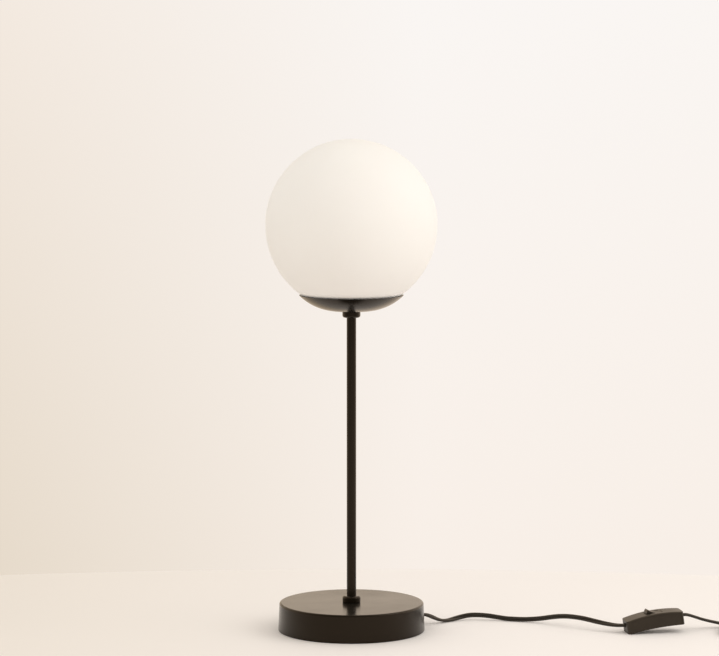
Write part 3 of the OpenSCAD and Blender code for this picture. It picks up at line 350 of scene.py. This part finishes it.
def start_ring(name, out, radius):
    bpy.ops.object.select_all(action="DESELECT")
    bpy.ops.mesh.primitive_circle_add(vertices=RING_CORNERS, radius=radius, fill_type="NGON",
                                      location=plug_centre(out), rotation=(math.pi / 2, 0, 0))
    piece = bpy.context.object
    piece.name = piece.data.name = name
    bpy.ops.object.transform_apply(location=True, rotation=True, scale=True)
    return piece


def grow(steps):
    bpy.ops.mesh.select_all(action="SELECT")
    out, wide, thick = steps[0]
    for next_out, next_wide, next_thick in steps[1:]:
        bpy.ops.mesh.extrude_region_move(TRANSFORM_OT_translate={"value": (0, (out - next_out) * MM, 0)})
        bpy.ops.transform.resize(value=(next_wide / wide, 1, next_thick / thick),
                                 center_override=plug_centre(next_out * MM))
        out, wide, thick = next_out, next_wide, next_thick
    bpy.ops.mesh.select_all(action="SELECT")
    bpy.ops.mesh.normals_make_consistent(inside=False)


print("the cord meets the plug at, mm:", as_mm(plug_centre(0)))

# %% [markdown]
# The sleeve's steps are in mm: how far from its tip, and the radius there. It widens evenly from the tip
# to the body, and four grooves round it, each with two short sloped walls, let it bend with the cord.

# %% Grow the ribbed sleeve
SLEEVE_TIP, SLEEVE_LONG = 3.2, 23.6
SLEEVE_FROM, SLEEVE_WIDENS, SLEEVE_OVER = 3.6, 2.2, 24
SLEEVE_GROOVES = (4, 8, 12, 16)
GROOVE_FROM, GROOVE_TO, GROOVE_END = 0.3, 1.1, 1.4


def sleeve_step(out):
    radius = SLEEVE_FROM + SLEEVE_WIDENS * out / SLEEVE_OVER
    return out, radius, radius


sleeve_steps = [(0, SLEEVE_TIP, SLEEVE_TIP), (0.3, 3.5, 3.5), sleeve_step(0.9)]
for groove in SLEEVE_GROOVES:
    low = SLEEVE_TIP + 0.08 * groove
    sleeve_steps += [sleeve_step(groove), (groove + GROOVE_FROM, low, low), (groove + GROOVE_TO, low, low),
                     sleeve_step(groove + GROOVE_END)]
sleeve_steps.append(sleeve_step(SLEEVE_LONG))

plug_sleeve = start_ring("plug_sleeve", 0, SLEEVE_TIP * MM)
bpy.ops.object.mode_set(mode="EDIT")
grow(sleeve_steps)
bpy.ops.object.mode_set(mode="OBJECT")
print("sleeve faces:", len(plug_sleeve.data.polygons))

# %% [markdown]
# The body starts as a ring too, but its section is a long round-ended slot. Moving one half of the ring
# sideways and then the other half makes that slot, because the two long edges between them stay straight.

# %% Stretch a ring into a slot
BODY_FROM = 22 * MM
PLUG_WIDE, PLUG_THICK = 35.3 * MM, 13.7 * MM
OFF_CENTRE = 0.001 * MM


def select_corners(piece, wanted):
    chosen = [wanted(corner.co) for corner in piece.data.vertices]
    for corner, pick in zip(piece.data.vertices, chosen):
        corner.select = pick
    for part in (*piece.data.edges, *piece.data.polygons):
        part.select = all(chosen[k] for k in part.vertices)


plug_body = start_ring("plug_moulding", BODY_FROM, PLUG_THICK / 2)
for side in (1, -1):
    select_corners(plug_body, lambda place: side * (place.x - PLUG_AT.x) > OFF_CENTRE)
    bpy.ops.object.mode_set(mode="EDIT")
    bpy.ops.transform.translate(value=(side * (PLUG_WIDE - PLUG_THICK) / 2, 0, 0))
    bpy.ops.object.mode_set(mode="OBJECT")
print("slot in mm:", as_mm(plug_body.dimensions))

# %% [markdown]
# The body's steps are how far from the sleeve's tip in mm, and the shares of the full width and thickness.
# It swells from the neck to its full size, has four shallow grooves on each side for the fingers, and ends
# in a rounded edge round the pins.

# %% Grow the flat body
BODY_NECK = (22.02, 0.34, 0.78)
BODY_SWELL = [(22.5, 0.41, 0.86), (24, 0.54, 0.93), (26.5, 0.70, 0.98), (29, 0.83, 1), (31.5, 0.92, 1),
              (34, 0.98, 1), (36, 1, 1)]
FINGER_GROOVES = (38, 41, 44, 47)
FINGER_GROOVE = [(0, 1, 1), (0.5, 0.976, 0.95), (1.3, 0.976, 0.95), (1.8, 1, 1)]
BODY_END = [(54.4, 1, 1), (55.3, 0.985, 0.965), (55.8, 0.965, 0.91), (56, 0.94, 0.85)]

body_steps = [BODY_NECK, *BODY_SWELL]
for groove in FINGER_GROOVES:
    body_steps += [(groove + out, wide, thick) for out, wide, thick in FINGER_GROOVE]
body_steps += BODY_END

bpy.ops.object.mode_set(mode="EDIT")
bpy.ops.mesh.select_mode(type="FACE")
bpy.ops.mesh.select_all(action="SELECT")
bpy.ops.transform.resize(value=(BODY_NECK[1], 1, BODY_NECK[2]), center_override=plug_centre(BODY_FROM))
grow(body_steps)
bpy.ops.object.mode_set(mode="OBJECT")
print("body steps:", len(body_steps))

# %% [markdown]
# The sleeve's wide end lies inside the body, so the two forms are joined as they are and become one piece
# on the cord. Only edges sharper than the given angle stay sharp.

# %% Join the plug's two forms
select_only(plug_body, plug_sleeve)
bpy.ops.object.join()
bpy.ops.object.shade_smooth_by_angle(angle=math.radians(28))
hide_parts("plug_body")
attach(plug_body, "lamp")
print("plug faces:", len(plug_body.data.polygons))


# %% [markdown]
# ## Small steps between nodes
# Every finish is built from the same few steps: a sum, a change of range, a noise of a given size, or a mix
# of two colours. A socket gets either a plain value or a link from another node, and one function sees to
# that for all of them. The size of a noise is in metres, which a Noise node takes as one over it.

# %% Helpers that place one node each
def feed(tree, value, socket):
    if isinstance(value, (int, float, tuple)):
        socket.default_value = value
    else:
        tree.links.new(value, socket)


def maths(tree, operation, a, b=0.0, clamp=False):
    step = tree.nodes.new("ShaderNodeMath")
    step.operation = operation
    step.use_clamp = clamp
    feed(tree, a, step.inputs[0])
    feed(tree, b, step.inputs[1])
    return step.outputs[0]


def over_range(tree, value, low, high, to_low=0.0, to_high=1.0):
    step = tree.nodes.new("ShaderNodeMapRange")
    for label, number in (("From Min", low), ("From Max", high), ("To Min", to_low), ("To Max", to_high)):
        step.inputs[label].default_value = number
    tree.links.new(value, step.inputs["Value"])
    return step.outputs["Result"]


def add_noise(tree, where, size, detail):
    noise = tree.nodes.new("ShaderNodeTexNoise")
    noise.inputs["Detail"].default_value = detail
    tree.links.new(where, noise.inputs["Vector"])
    often = 1 / size if isinstance(size, (int, float)) else maths(tree, "DIVIDE", 1.0, size)
    feed(tree, often, noise.inputs["Scale"])
    return noise.outputs["Fac"]


def mix_colour(tree, mask, a, b):
    mix = tree.nodes.new("ShaderNodeMix")
    mix.data_type = "RGBA"
    tree.links.new(mask, mix.inputs["Factor"])
    feed(tree, a, mix.inputs[6])
    feed(tree, b, mix.inputs[7])
    return mix.outputs[2]


print("a node for each of:", [step.__name__ for step in (maths, over_range, add_noise, mix_colour)])


# %% [markdown]
# ## Shared effects
# Powder paint, moulded plastic and cast iron all have a fine uneven skin, and only its size and depth
# differ. So the skin is made once as a node group with named inputs, and each finish places it with its
# own values. It gives two values: a height for the relief, and a tone that wanders slowly from light to
# dark over the piece, because no real paint or plastic is one even colour. A noise stays near its middle
# value, so the tone is spread out to reach both colours.

# %% The skin group
TONE_SPREAD = 2.2


def new_group(name, inputs, outputs):
    group = bpy.data.node_groups.new(name, "ShaderNodeTree")
    for label, start in inputs:
        group.interface.new_socket(label, in_out="INPUT", socket_type="NodeSocketFloat").default_value = start
    for label in outputs:
        group.interface.new_socket(label, in_out="OUTPUT", socket_type="NodeSocketFloat")
    return group, group.nodes.new("NodeGroupInput"), group.nodes.new("NodeGroupOutput")


skin, skin_in, skin_out = new_group("uneven_skin", [("Grain Size", 0.001), ("Tone Size", 0.05)],
                                    ["Height", "Tone"])
skin_place = skin.nodes.new("ShaderNodeTexCoord").outputs["Object"]
skin_grain = add_noise(skin, skin_place, skin_in.outputs["Grain Size"], 2)
skin_tone = add_noise(skin, skin_place, skin_in.outputs["Tone Size"], 4)
skin.links.new(skin_grain, skin_out.inputs["Height"])
skin_spread = maths(skin, "MULTIPLY", maths(skin, "SUBTRACT", skin_tone, 0.5), TONE_SPREAD)
skin.links.new(maths(skin, "ADD", skin_spread, 0.5, True), skin_out.inputs["Tone"])
print("group:", skin.name, "with nodes:", len(skin.nodes))

# %% [markdown]
# Dust settles on what faces up, in a thin uneven veil. The same lighter veil is also painted sheen, which
# lightens the top faces such as the base's top. Its mask comes from the upward part of the surface's own
# direction, broken up by a fine noise, so that it fades out on walls and never lies under a piece.

# %% The dust and painted sheen group
dust_and_sheen, dust_and_sheen_in, dust_and_sheen_out = new_group("dust_and_painted_sheen", [("Amount", 0.1), ("Speck Size", 0.002)], ["Mask"])
facing = dust_and_sheen.nodes.new("ShaderNodeSeparateXYZ")
dust_and_sheen.links.new(dust_and_sheen.nodes.new("ShaderNodeNewGeometry").outputs["Normal"], facing.inputs[0])
upward = over_range(dust_and_sheen, facing.outputs["Z"], 0.2, 1.0)
dust_and_sheen_place = dust_and_sheen.nodes.new("ShaderNodeTexCoord").outputs["Object"]
specks = add_noise(dust_and_sheen, dust_and_sheen_place, dust_and_sheen_in.outputs["Speck Size"], 3)
settled = maths(dust_and_sheen, "MULTIPLY", upward, maths(dust_and_sheen, "ADD", specks, 0.3))
dust_and_sheen.links.new(maths(dust_and_sheen, "MULTIPLY", settled, dust_and_sheen_in.outputs["Amount"], True), dust_and_sheen_out.inputs["Mask"])
print("group:", dust_and_sheen.name, "with nodes:", len(dust_and_sheen.nodes))

# %% [markdown]
# A cord is drawn out of a hot nozzle, which leaves faint lines along it. The seam between its two wires is a
# narrow crease in shade, and that shade is painted into the colour as a darker line. Both follow the cord and
# not the room, so this group reads the map that was made with the sweep: its first value goes round the cord,
# and the two seams lie where it is 0 and 0.5. The second value is in metres along the cord, and the lines and
# the tone change so many times in each metre.

# %% The drawn-cord group
LINES_A_METRE, TONES_A_METRE = 30.0, 25.0
SEAM_EDGE, SEAM_SHARP = 0.42, 12.0

drawn, drawn_in, drawn_out = new_group("drawn_lines", [("Lines", 60.0)], ["Height", "Seam", "Tone"])
along = drawn.nodes.new("ShaderNodeUVMap")
along.uv_map = "along"
stretch = drawn.nodes.new("ShaderNodeCombineXYZ")
parts = drawn.nodes.new("ShaderNodeSeparateXYZ")
drawn.links.new(along.outputs["UV"], parts.inputs[0])
drawn.links.new(maths(drawn, "MULTIPLY", parts.outputs["X"], drawn_in.outputs["Lines"]), stretch.inputs["X"])
drawn.links.new(maths(drawn, "MULTIPLY", parts.outputs["Y"], LINES_A_METRE), stretch.inputs["Y"])
drawn.links.new(add_noise(drawn, stretch.outputs[0], 1.0, 2), drawn_out.inputs["Height"])
# The mask of the painted shade along the cord's two seams.
round_one_wire = maths(drawn, "FRACT", maths(drawn, "MULTIPLY", parts.outputs["X"], 2.0))
from_crest = maths(drawn, "ABSOLUTE", maths(drawn, "SUBTRACT", round_one_wire, 0.5))
drawn.links.new(maths(drawn, "MULTIPLY", maths(drawn, "SUBTRACT", from_crest, SEAM_EDGE), SEAM_SHARP, True),
                drawn_out.inputs["Seam"])
slow = drawn.nodes.new("ShaderNodeCombineXYZ")
drawn.links.new(maths(drawn, "MULTIPLY", parts.outputs["Y"], TONES_A_METRE), slow.inputs["Y"])
drawn.links.new(add_noise(drawn, slow.outputs[0], 1.0, 2), drawn_out.inputs["Tone"])
print("group:", drawn.name, "with nodes:", len(drawn.nodes))

# %% [markdown]
# Pressed and turned metal has fine lines in the direction of the work. Stretching a noise sideways draws it
# out into level lines, which run round a part that was turned on the lamp's upright axis.

# %% The worked-metal group
SIDEWAYS = 0.12

worked, worked_in, worked_out = new_group("worked_metal", [("Line Size", 0.0004)], ["Height", "Tone"])
worked_place = worked.nodes.new("ShaderNodeTexCoord").outputs["Object"]
flatten = worked.nodes.new("ShaderNodeMapping")
flatten.inputs["Scale"].default_value = (SIDEWAYS, SIDEWAYS, 1.0)
worked.links.new(worked_place, flatten.inputs["Vector"])
worked.links.new(add_noise(worked, flatten.outputs[0], worked_in.outputs["Line Size"], 2),
                 worked_out.inputs["Height"])
worked.links.new(add_noise(worked, worked_place, 12 * MM, 3), worked_out.inputs["Tone"])
print("groups:", [g.name for g in bpy.data.node_groups])


# %% [markdown]
# ## The finishes
# A finish is a Principled shader with its two colours, its roughness and its relief. The group's tone mixes
# the two colours and shifts the roughness a little, and its height feeds a Bump node. On a cord the seams are
# darkened with painted shade. Dust, where there is any, dulls the top faces and lightens them, and that
# lightening is partly painted sheen. What is the same all over is set on the shader itself.

# %% A helper for finishes
# The dust colour is lighter than the black paint, and on top faces it also gives a painted sheen.
DUST_AND_SHEEN_COLOUR = (0.42, 0.38, 0.33, 1)
DUST_DULLS = 0.3
ROUGH_SWING = 0.1
SEAM_PAINTED_SHADE = 0.45


def place_group(tree, group, **values):
    placed = tree.nodes.new("ShaderNodeGroup")
    placed.node_tree = group
    for label, value in values.items():
        placed.inputs[label.replace("_", " ")].default_value = value
    return placed


def make_finish(name, colours, rough, relief, pattern, dust_and_sheen_amount=0.0, **shader_values):
    material = bpy.data.materials.new(name)
    material.use_nodes = True
    tree = material.node_tree
    shader = tree.nodes["Principled BSDF"]
    tone = pattern(tree)
    colour = mix_colour(tree, tone.outputs["Tone"], (*colours[0], 1), (*colours[1], 1))
    swing = maths(tree, "MULTIPLY", tone.outputs["Tone"], ROUGH_SWING)
    roughness = maths(tree, "ADD", swing, rough - ROUGH_SWING / 2)
    # Painted shade: the cord's seams are darkened in its colour.
    if "Seam" in tone.outputs:
        seam_painted_shade = (*[part * SEAM_PAINTED_SHADE for part in colours[0]], 1)
        colour = mix_colour(tree, tone.outputs["Seam"], colour, seam_painted_shade)
    # Dust on faces that look up, lighter and duller; the lightening is also painted sheen.
    if dust_and_sheen_amount:
        mask = place_group(tree, dust_and_sheen, Amount=dust_and_sheen_amount).outputs["Mask"]
        colour = mix_colour(tree, mask, colour, DUST_AND_SHEEN_COLOUR)
        roughness = maths(tree, "ADD", roughness, maths(tree, "MULTIPLY", mask, DUST_DULLS), True)
    tree.links.new(colour, shader.inputs["Base Color"])
    tree.links.new(roughness, shader.inputs["Roughness"])
    bump = tree.nodes.new("ShaderNodeBump")
    bump.inputs["Distance"].default_value = relief
    bump.inputs["Strength"].default_value = 1.0
    tree.links.new(tone.outputs["Height"], bump.inputs["Height"])
    tree.links.new(bump.outputs["Normal"], shader.inputs["Normal"])
    for label, value in shader_values.items():
        shader.inputs[label.replace("_", " ")].default_value = value
    return material


def skinned(grain, tone):
    return lambda tree: place_group(tree, skin, Grain_Size=grain, Tone_Size=tone)


def turned(line):
    return lambda tree: place_group(tree, worked, Line_Size=line)


def drawn_out_of(lines):
    return lambda tree: place_group(tree, drawn, Lines=lines)


print("patterns:", [pattern.__name__ for pattern in (skinned, turned, drawn_out_of)])


# %% [markdown]
# The base, the stem and its collars are steel under a thin satin powder paint, brown-black and slightly
# pebbled. The dish has the same colours in a coat that shines a little more, so the bright room shows more
# in it. Almost all that the eye gets from such a dark paint is its gloss, so the gloss is tinted brown, and
# the paint looks brown-black and not grey.

# %% Paint the metal
BLACK_PAINT = [(0.005, 0.0035, 0.002), (0.008, 0.006, 0.004)]
WARM_GLOSS = (0.70, 0.56, 0.43, 1)
# The paint's thin dust veil also lightens the base's top as painted sheen.
powder_black = make_finish("powder_black", BLACK_PAINT, 0.20, 0.00001,
                           skinned(0.0007, 0.06), dust_and_sheen_amount=0.02, IOR=1.42, Specular_Tint=WARM_GLOSS)
dish_black = make_finish("dish_black", BLACK_PAINT, 0.22, 0.00001,
                         skinned(0.0009, 0.05), IOR=1.45, Specular_Tint=WARM_GLOSS)
print("painted:", powder_black.name, dish_black.name)

# %% [markdown]
# Opal glass is white through and through, with a matt etched skin. Light enters it and comes out again
# nearby, which softens its shading, so some of it goes under the surface. The bulb inside is the same idea
# in thin plastic.

# %% Blow the glass
opal_white = make_finish("opal_white", [(0.915, 0.88, 0.84), (0.935, 0.9, 0.862)], 0.6, 0.00001,
                         skinned(0.004, 0.08), IOR=1.3, Subsurface_Weight=0.3, Subsurface_Scale=0.01,
                         Subsurface_Radius=(1.0, 0.95, 0.9))
bulb_white = make_finish("bulb_white", [(0.88, 0.87, 0.84), (0.91, 0.9, 0.87)], 0.45, 0.00001,
                         skinned(0.003, 0.04), IOR=1.45)
print("blown:", opal_white.name, bulb_white.name)

# %% [markdown]
# The cord is soft black plastic with a dull shine along its two ridges. The switch, the grommet and the plug
# are harder plastic from a mould with a finely sparked face, which gives them an even matt grain. The cord
# inside the base keeps its solid, which has no map along it, so its sheath has a plain skin.

# %% Mould the black plastics
# The cord's seams get painted shade, a darker line in the crease between its two wires.
cord_black = make_finish("cord_black", [(0.014, 0.012, 0.009), (0.020, 0.017, 0.013)], 0.34, 0.00004,
                         drawn_out_of(60.0), dust_and_sheen_amount=0.05, Specular_Tint=(0.9, 0.8, 0.7, 1))
sheath_black = make_finish("sheath_black", [(0.020, 0.018, 0.015), (0.027, 0.023, 0.019)], 0.40, 0.00003,
                           skinned(0.0006, 0.02))
moulded_black = make_finish("moulded_black", [(0.017, 0.013, 0.009), (0.023, 0.018, 0.013)], 0.42, 0.00005,
                            skinned(0.0005, 0.02), dust_and_sheen_amount=0.05, Specular_Tint=(0.8, 0.68, 0.56, 1))
print("moulded:", cord_black.name, sheath_black.name, moulded_black.name)

# %% [markdown]
# Inside the lamp the plastics are pale: the lampholder and the cord clamp are white, the board that carries
# the bulb's chips is cream, the globe rests on clear silicone and the base on black foam. The two wires that
# come out of the cord's sheath are brown and blue, and the bulb's cap ends in a ring of black glass.

# %% Mould what lies inside
moulded_white = make_finish("moulded_white", [(0.78, 0.76, 0.70), (0.82, 0.80, 0.75)], 0.38, 0.00004,
                            skinned(0.0008, 0.03))
cream_board = make_finish("cream_board", [(0.70, 0.65, 0.54), (0.75, 0.70, 0.60)], 0.55, 0.00006,
                          skinned(0.0006, 0.01))
silicone_clear = make_finish("silicone_clear", [(0.62, 0.60, 0.56), (0.68, 0.66, 0.61)], 0.5, 0.00003,
                             skinned(0.001, 0.02))
foam_black = make_finish("foam_black", [(0.018, 0.018, 0.018), (0.045, 0.044, 0.042)], 0.9, 0.0002,
                         skinned(0.0006, 0.008))
brown_sheath = make_finish("brown_sheath", [(0.16, 0.07, 0.03), (0.2, 0.09, 0.04)], 0.4, 0.00002,
                           skinned(0.0006, 0.01))
blue_sheath = make_finish("blue_sheath", [(0.04, 0.1, 0.3), (0.05, 0.13, 0.36)], 0.4, 0.00002,
                          skinned(0.0006, 0.01))
glass_black = make_finish("glass_black", [(0.012, 0.01, 0.014), (0.02, 0.017, 0.022)], 0.12, 0.00001,
                          skinned(0.002, 0.01))
print("moulded inside:", [finish.name for finish in (moulded_white, cream_board, silicone_clear, foam_black,
                                                     brown_sheath, blue_sheath, glass_black)])

# %% [markdown]
# Hidden metal is not left plain either: zinc-plated steel is pale and slightly cloudy, brass is warm, the
# bulb's cap is bright nickel, and the weight is raw cast iron with a coarse sandy skin.

# %% Plate and cast the rest
zinc_steel = make_finish("zinc_steel", [(0.56, 0.56, 0.55), (0.66, 0.66, 0.64)], 0.32, 0.00002,
                         turned(0.0003), Metallic=1.0)
spring_steel = make_finish("spring_steel", [(0.42, 0.42, 0.43), (0.52, 0.52, 0.52)], 0.28, 0.00001,
                           turned(0.0002), Metallic=1.0)
warm_brass = make_finish("warm_brass", [(0.72, 0.50, 0.20), (0.80, 0.58, 0.26)], 0.26, 0.00001,
                         turned(0.0002), Metallic=1.0)
bright_nickel = make_finish("bright_nickel", [(0.66, 0.64, 0.60), (0.74, 0.72, 0.68)], 0.18, 0.00001,
                            turned(0.0002), Metallic=1.0)
sand_iron = make_finish("sand_iron", [(0.07, 0.065, 0.06), (0.13, 0.115, 0.1)], 0.7, 0.00025,
                        skinned(0.0014, 0.02), Metallic=0.6)
print("plated and cast:", [finish.name for finish in (zinc_steel, spring_steel, warm_brass, bright_nickel,
                                                      sand_iron)])


# %% [markdown]
# ## Who wears what
# Every solid of the construction model gets a finish by name. Its mesh isn't touched: only the material
# slot is filled. The last line names any solid that was forgotten.

# %% Hand out the finishes
WEARS = {
    powder_black: "base_cover lower_collar stem_tube upper_collar",
    dish_black: "dish",
    opal_white: "globe",
    bulb_white: "bulb_ball",
    sheath_black: "inner_cord",
    moulded_black: "cord_grommet switch_base switch_cover rocker pin_sleeves",
    moulded_white: "cord_clamp holder_cap holder_skirt bulb_collar plunger",
    cream_board: "holder_insert led_board",
    silicone_clear: "seat_ring",
    foam_black: "base_pad",
    brown_sheath: "live_core live_leads",
    blue_sheath: "neutral_core neutral_lead",
    glass_black: "bulb_insulator",
    zinc_steel: "base_washer base_nut clamp_screws clip_plate clip_rivets lock_washer dish_nut "
                "terminal_screws switch_screws contact_screws",
    spring_steel: "spring_clips plunger_spring",
    warm_brass: "screw_shell centre_contact holder_terminals line_contact load_contact contact_bridge",
    bright_nickel: "bulb_cap bulb_contact plug_pins",
    sand_iron: "base_weight",
}


def wear(piece, finish):
    piece.data.materials.clear()
    piece.data.materials.append(finish)


for finish, names in WEARS.items():
    for name in names.split():
        wear(nodes[name], finish)
wear(cord_from_base, cord_black)
wear(cord_to_plug, cord_black)
wear(plug_body, moulded_black)
bare = [name for name, piece in nodes.items() if not piece.hide_render and not any(
    slot.material in WEARS for slot in piece.material_slots)]
print("solids without a finish:", bare)


# %% [markdown]
# ## Table, room and light
# The lamp stands on a large pale table whose far edge is a very flat curve behind it, before a pale wall.
# The table is a disc so that its edge has that curve. It gets a little lighter from left to right, as the
# real one does towards its window. That is painted light: the lightening is painted into the table's colour
# by its own coordinates, and is already full just right of the lamp's middle, so the table beside the lamp,
# where the lamp's own shade falls, is painted lighter too.

# %% Set the table
TABLE_R, TABLE_MIDDLE = 2.1, (0, -1.73, 0)
TABLE_LEFT, TABLE_RIGHT = (0.84, 0.785, 0.725, 1), (0.905, 0.86, 0.835, 1)
TABLE_PAINTED_LIGHT_FADE = (-0.4, 0.05)

bpy.ops.mesh.primitive_circle_add(vertices=360, radius=TABLE_R, fill_type="NGON", location=TABLE_MIDDLE)
table_top = bpy.context.object
table_top.name = "table_top"
bpy.ops.object.transform_apply(location=True, rotation=True, scale=True)

table_pale = bpy.data.materials.new("table_pale")
table_pale.use_nodes = True
table = table_pale.node_tree
table_place = table.nodes.new("ShaderNodeSeparateXYZ")
table.links.new(table.nodes.new("ShaderNodeTexCoord").outputs["Object"], table_place.inputs[0])
# Painted light: the table's colour gets lighter from left to right.
table_painted_light = over_range(table, table_place.outputs["X"], *TABLE_PAINTED_LIGHT_FADE)
table_shader = table.nodes["Principled BSDF"]
table.links.new(mix_colour(table, table_painted_light, TABLE_LEFT, TABLE_RIGHT), table_shader.inputs["Base Color"])
table_shader.inputs["Roughness"].default_value = 0.7
table_shader.inputs["Specular IOR Level"].default_value = 0.2
wear(table_top, table_pale)
print("the table's far edge is behind the lamp by, m:", round(TABLE_R + TABLE_MIDDLE[1], 2))

# %% [markdown]
# The room is the world's colour. The wall is a little darker on the left and low down, as a wall is away
# from its window, so its colour is mixed from four corner colours by the direction of the look. Gloss
# mirrors a warmer wall behind the lamp, which gives the black pieces their brown edges, and a dim room in
# front of it, which keeps their fronts dark. All other rays see an even light. Each level is given as one
# number for the near side and one for the far side, and each range as the two ends of a direction.

# %% The room's colours and levels
WALL_LOW = ((0.791, 0.701, 0.591, 1), (0.939, 0.863, 0.799, 1))
WALL_HIGH = ((0.896, 0.815, 0.738, 1), (0.956, 0.922, 0.896, 1))
WALL_MIRRORED = ((0.791, 0.638, 0.467, 1), (0.939, 0.785, 0.631, 1))
ROOM_LIGHT = (1.0, 0.96, 0.90, 1)
ROOM_LEVEL = (1.12, 0.89)
MIRRORED_LEVEL = (0.25, 1.22)
ACROSS_WALL, UP_WALL = (-0.125, 0.02), (-0.17, 0.02)
ROOM_DEPTH, MIRRORED_DEPTH = (-0.9, 0.3), (-0.7, 0.2)

world = bpy.data.worlds.new("room")
bpy.context.scene.world = world
world.use_nodes = True
room = world.node_tree
room.nodes.clear()
looking = room.nodes.new("ShaderNodeSeparateXYZ")
room.links.new(room.nodes.new("ShaderNodeTexCoord").outputs["Generated"], looking.inputs[0])


def background(colour, strength):
    glow = room.nodes.new("ShaderNodeBackground")
    feed(room, colour, glow.inputs["Color"])
    feed(room, strength, glow.inputs["Strength"])
    return glow.outputs[0]


def either(mask, a, b):
    step = room.nodes.new("ShaderNodeMixShader")
    room.links.new(mask, step.inputs[0])
    room.links.new(a, step.inputs[1])
    room.links.new(b, step.inputs[2])
    return step.outputs[0]


print("room levels, near and far:", ROOM_LEVEL, "mirrored:", MIRRORED_LEVEL)

# %% [markdown]
# Light Path tells what kind of ray is asking. Rays that were mirrored or went through glass are asked about
# first, and the camera's own rays last, so that the camera sees the wall at exactly its own colour.

# %% Let each kind of ray see its own room
across = over_range(room, looking.outputs["X"], *ACROSS_WALL)
wall_low = mix_colour(room, across, *WALL_LOW)
wall_high = mix_colour(room, across, *WALL_HIGH)
wall = mix_colour(room, over_range(room, looking.outputs["Z"], *UP_WALL), wall_low, wall_high)
mirrored_wall = background(mix_colour(room, across, *WALL_MIRRORED),
                           over_range(room, looking.outputs["Y"], *MIRRORED_DEPTH, *MIRRORED_LEVEL))
even_light = background(ROOM_LIGHT, over_range(room, looking.outputs["Y"], *ROOM_DEPTH, *ROOM_LEVEL))
path = room.nodes.new("ShaderNodeLightPath")
mirrored = maths(room, "MAXIMUM", path.outputs["Is Glossy Ray"], path.outputs["Is Transmission Ray"])
shown = either(mirrored, even_light, mirrored_wall)
shown = either(path.outputs["Is Camera Ray"], shown, background(wall, 1.0))
room.links.new(shown, room.nodes.new("ShaderNodeOutputWorld").inputs["Surface"])
print("nodes of the room:", len(room.nodes))

# %% [markdown]
# One large soft lamp stands on the right, higher than the globe and a little in front of it, like a window.
# It is turned to the middle of the object. It is big, so the shadows it throws are faint and wide, and the
# camera doesn't see it. It adds only a little to the room's even light: enough to make the globe round.

# %% Hang the window light
WINDOW_AT, WINDOW_LOOKS_AT = Vector((1.6, -0.5, 1.2)), Vector((0, 0, 0.25))
WINDOW_ACROSS, WINDOW_WATTS = 1.4, 7.2
WINDOW_COLOUR = (1.0, 0.99, 0.97)

bpy.ops.object.light_add(type="AREA", location=WINDOW_AT)
window = bpy.context.object
window.name = "window"
window.data.shape = "DISK"
window.data.size = WINDOW_ACROSS
window.data.energy = WINDOW_WATTS
window.data.color = WINDOW_COLOUR
window.rotation_euler = (WINDOW_LOOKS_AT - WINDOW_AT).to_track_quat("-Z", "Y").to_euler()
window.visible_camera = False
print("window stands away by, m:", round((WINDOW_AT - WINDOW_LOOKS_AT).length, 2))
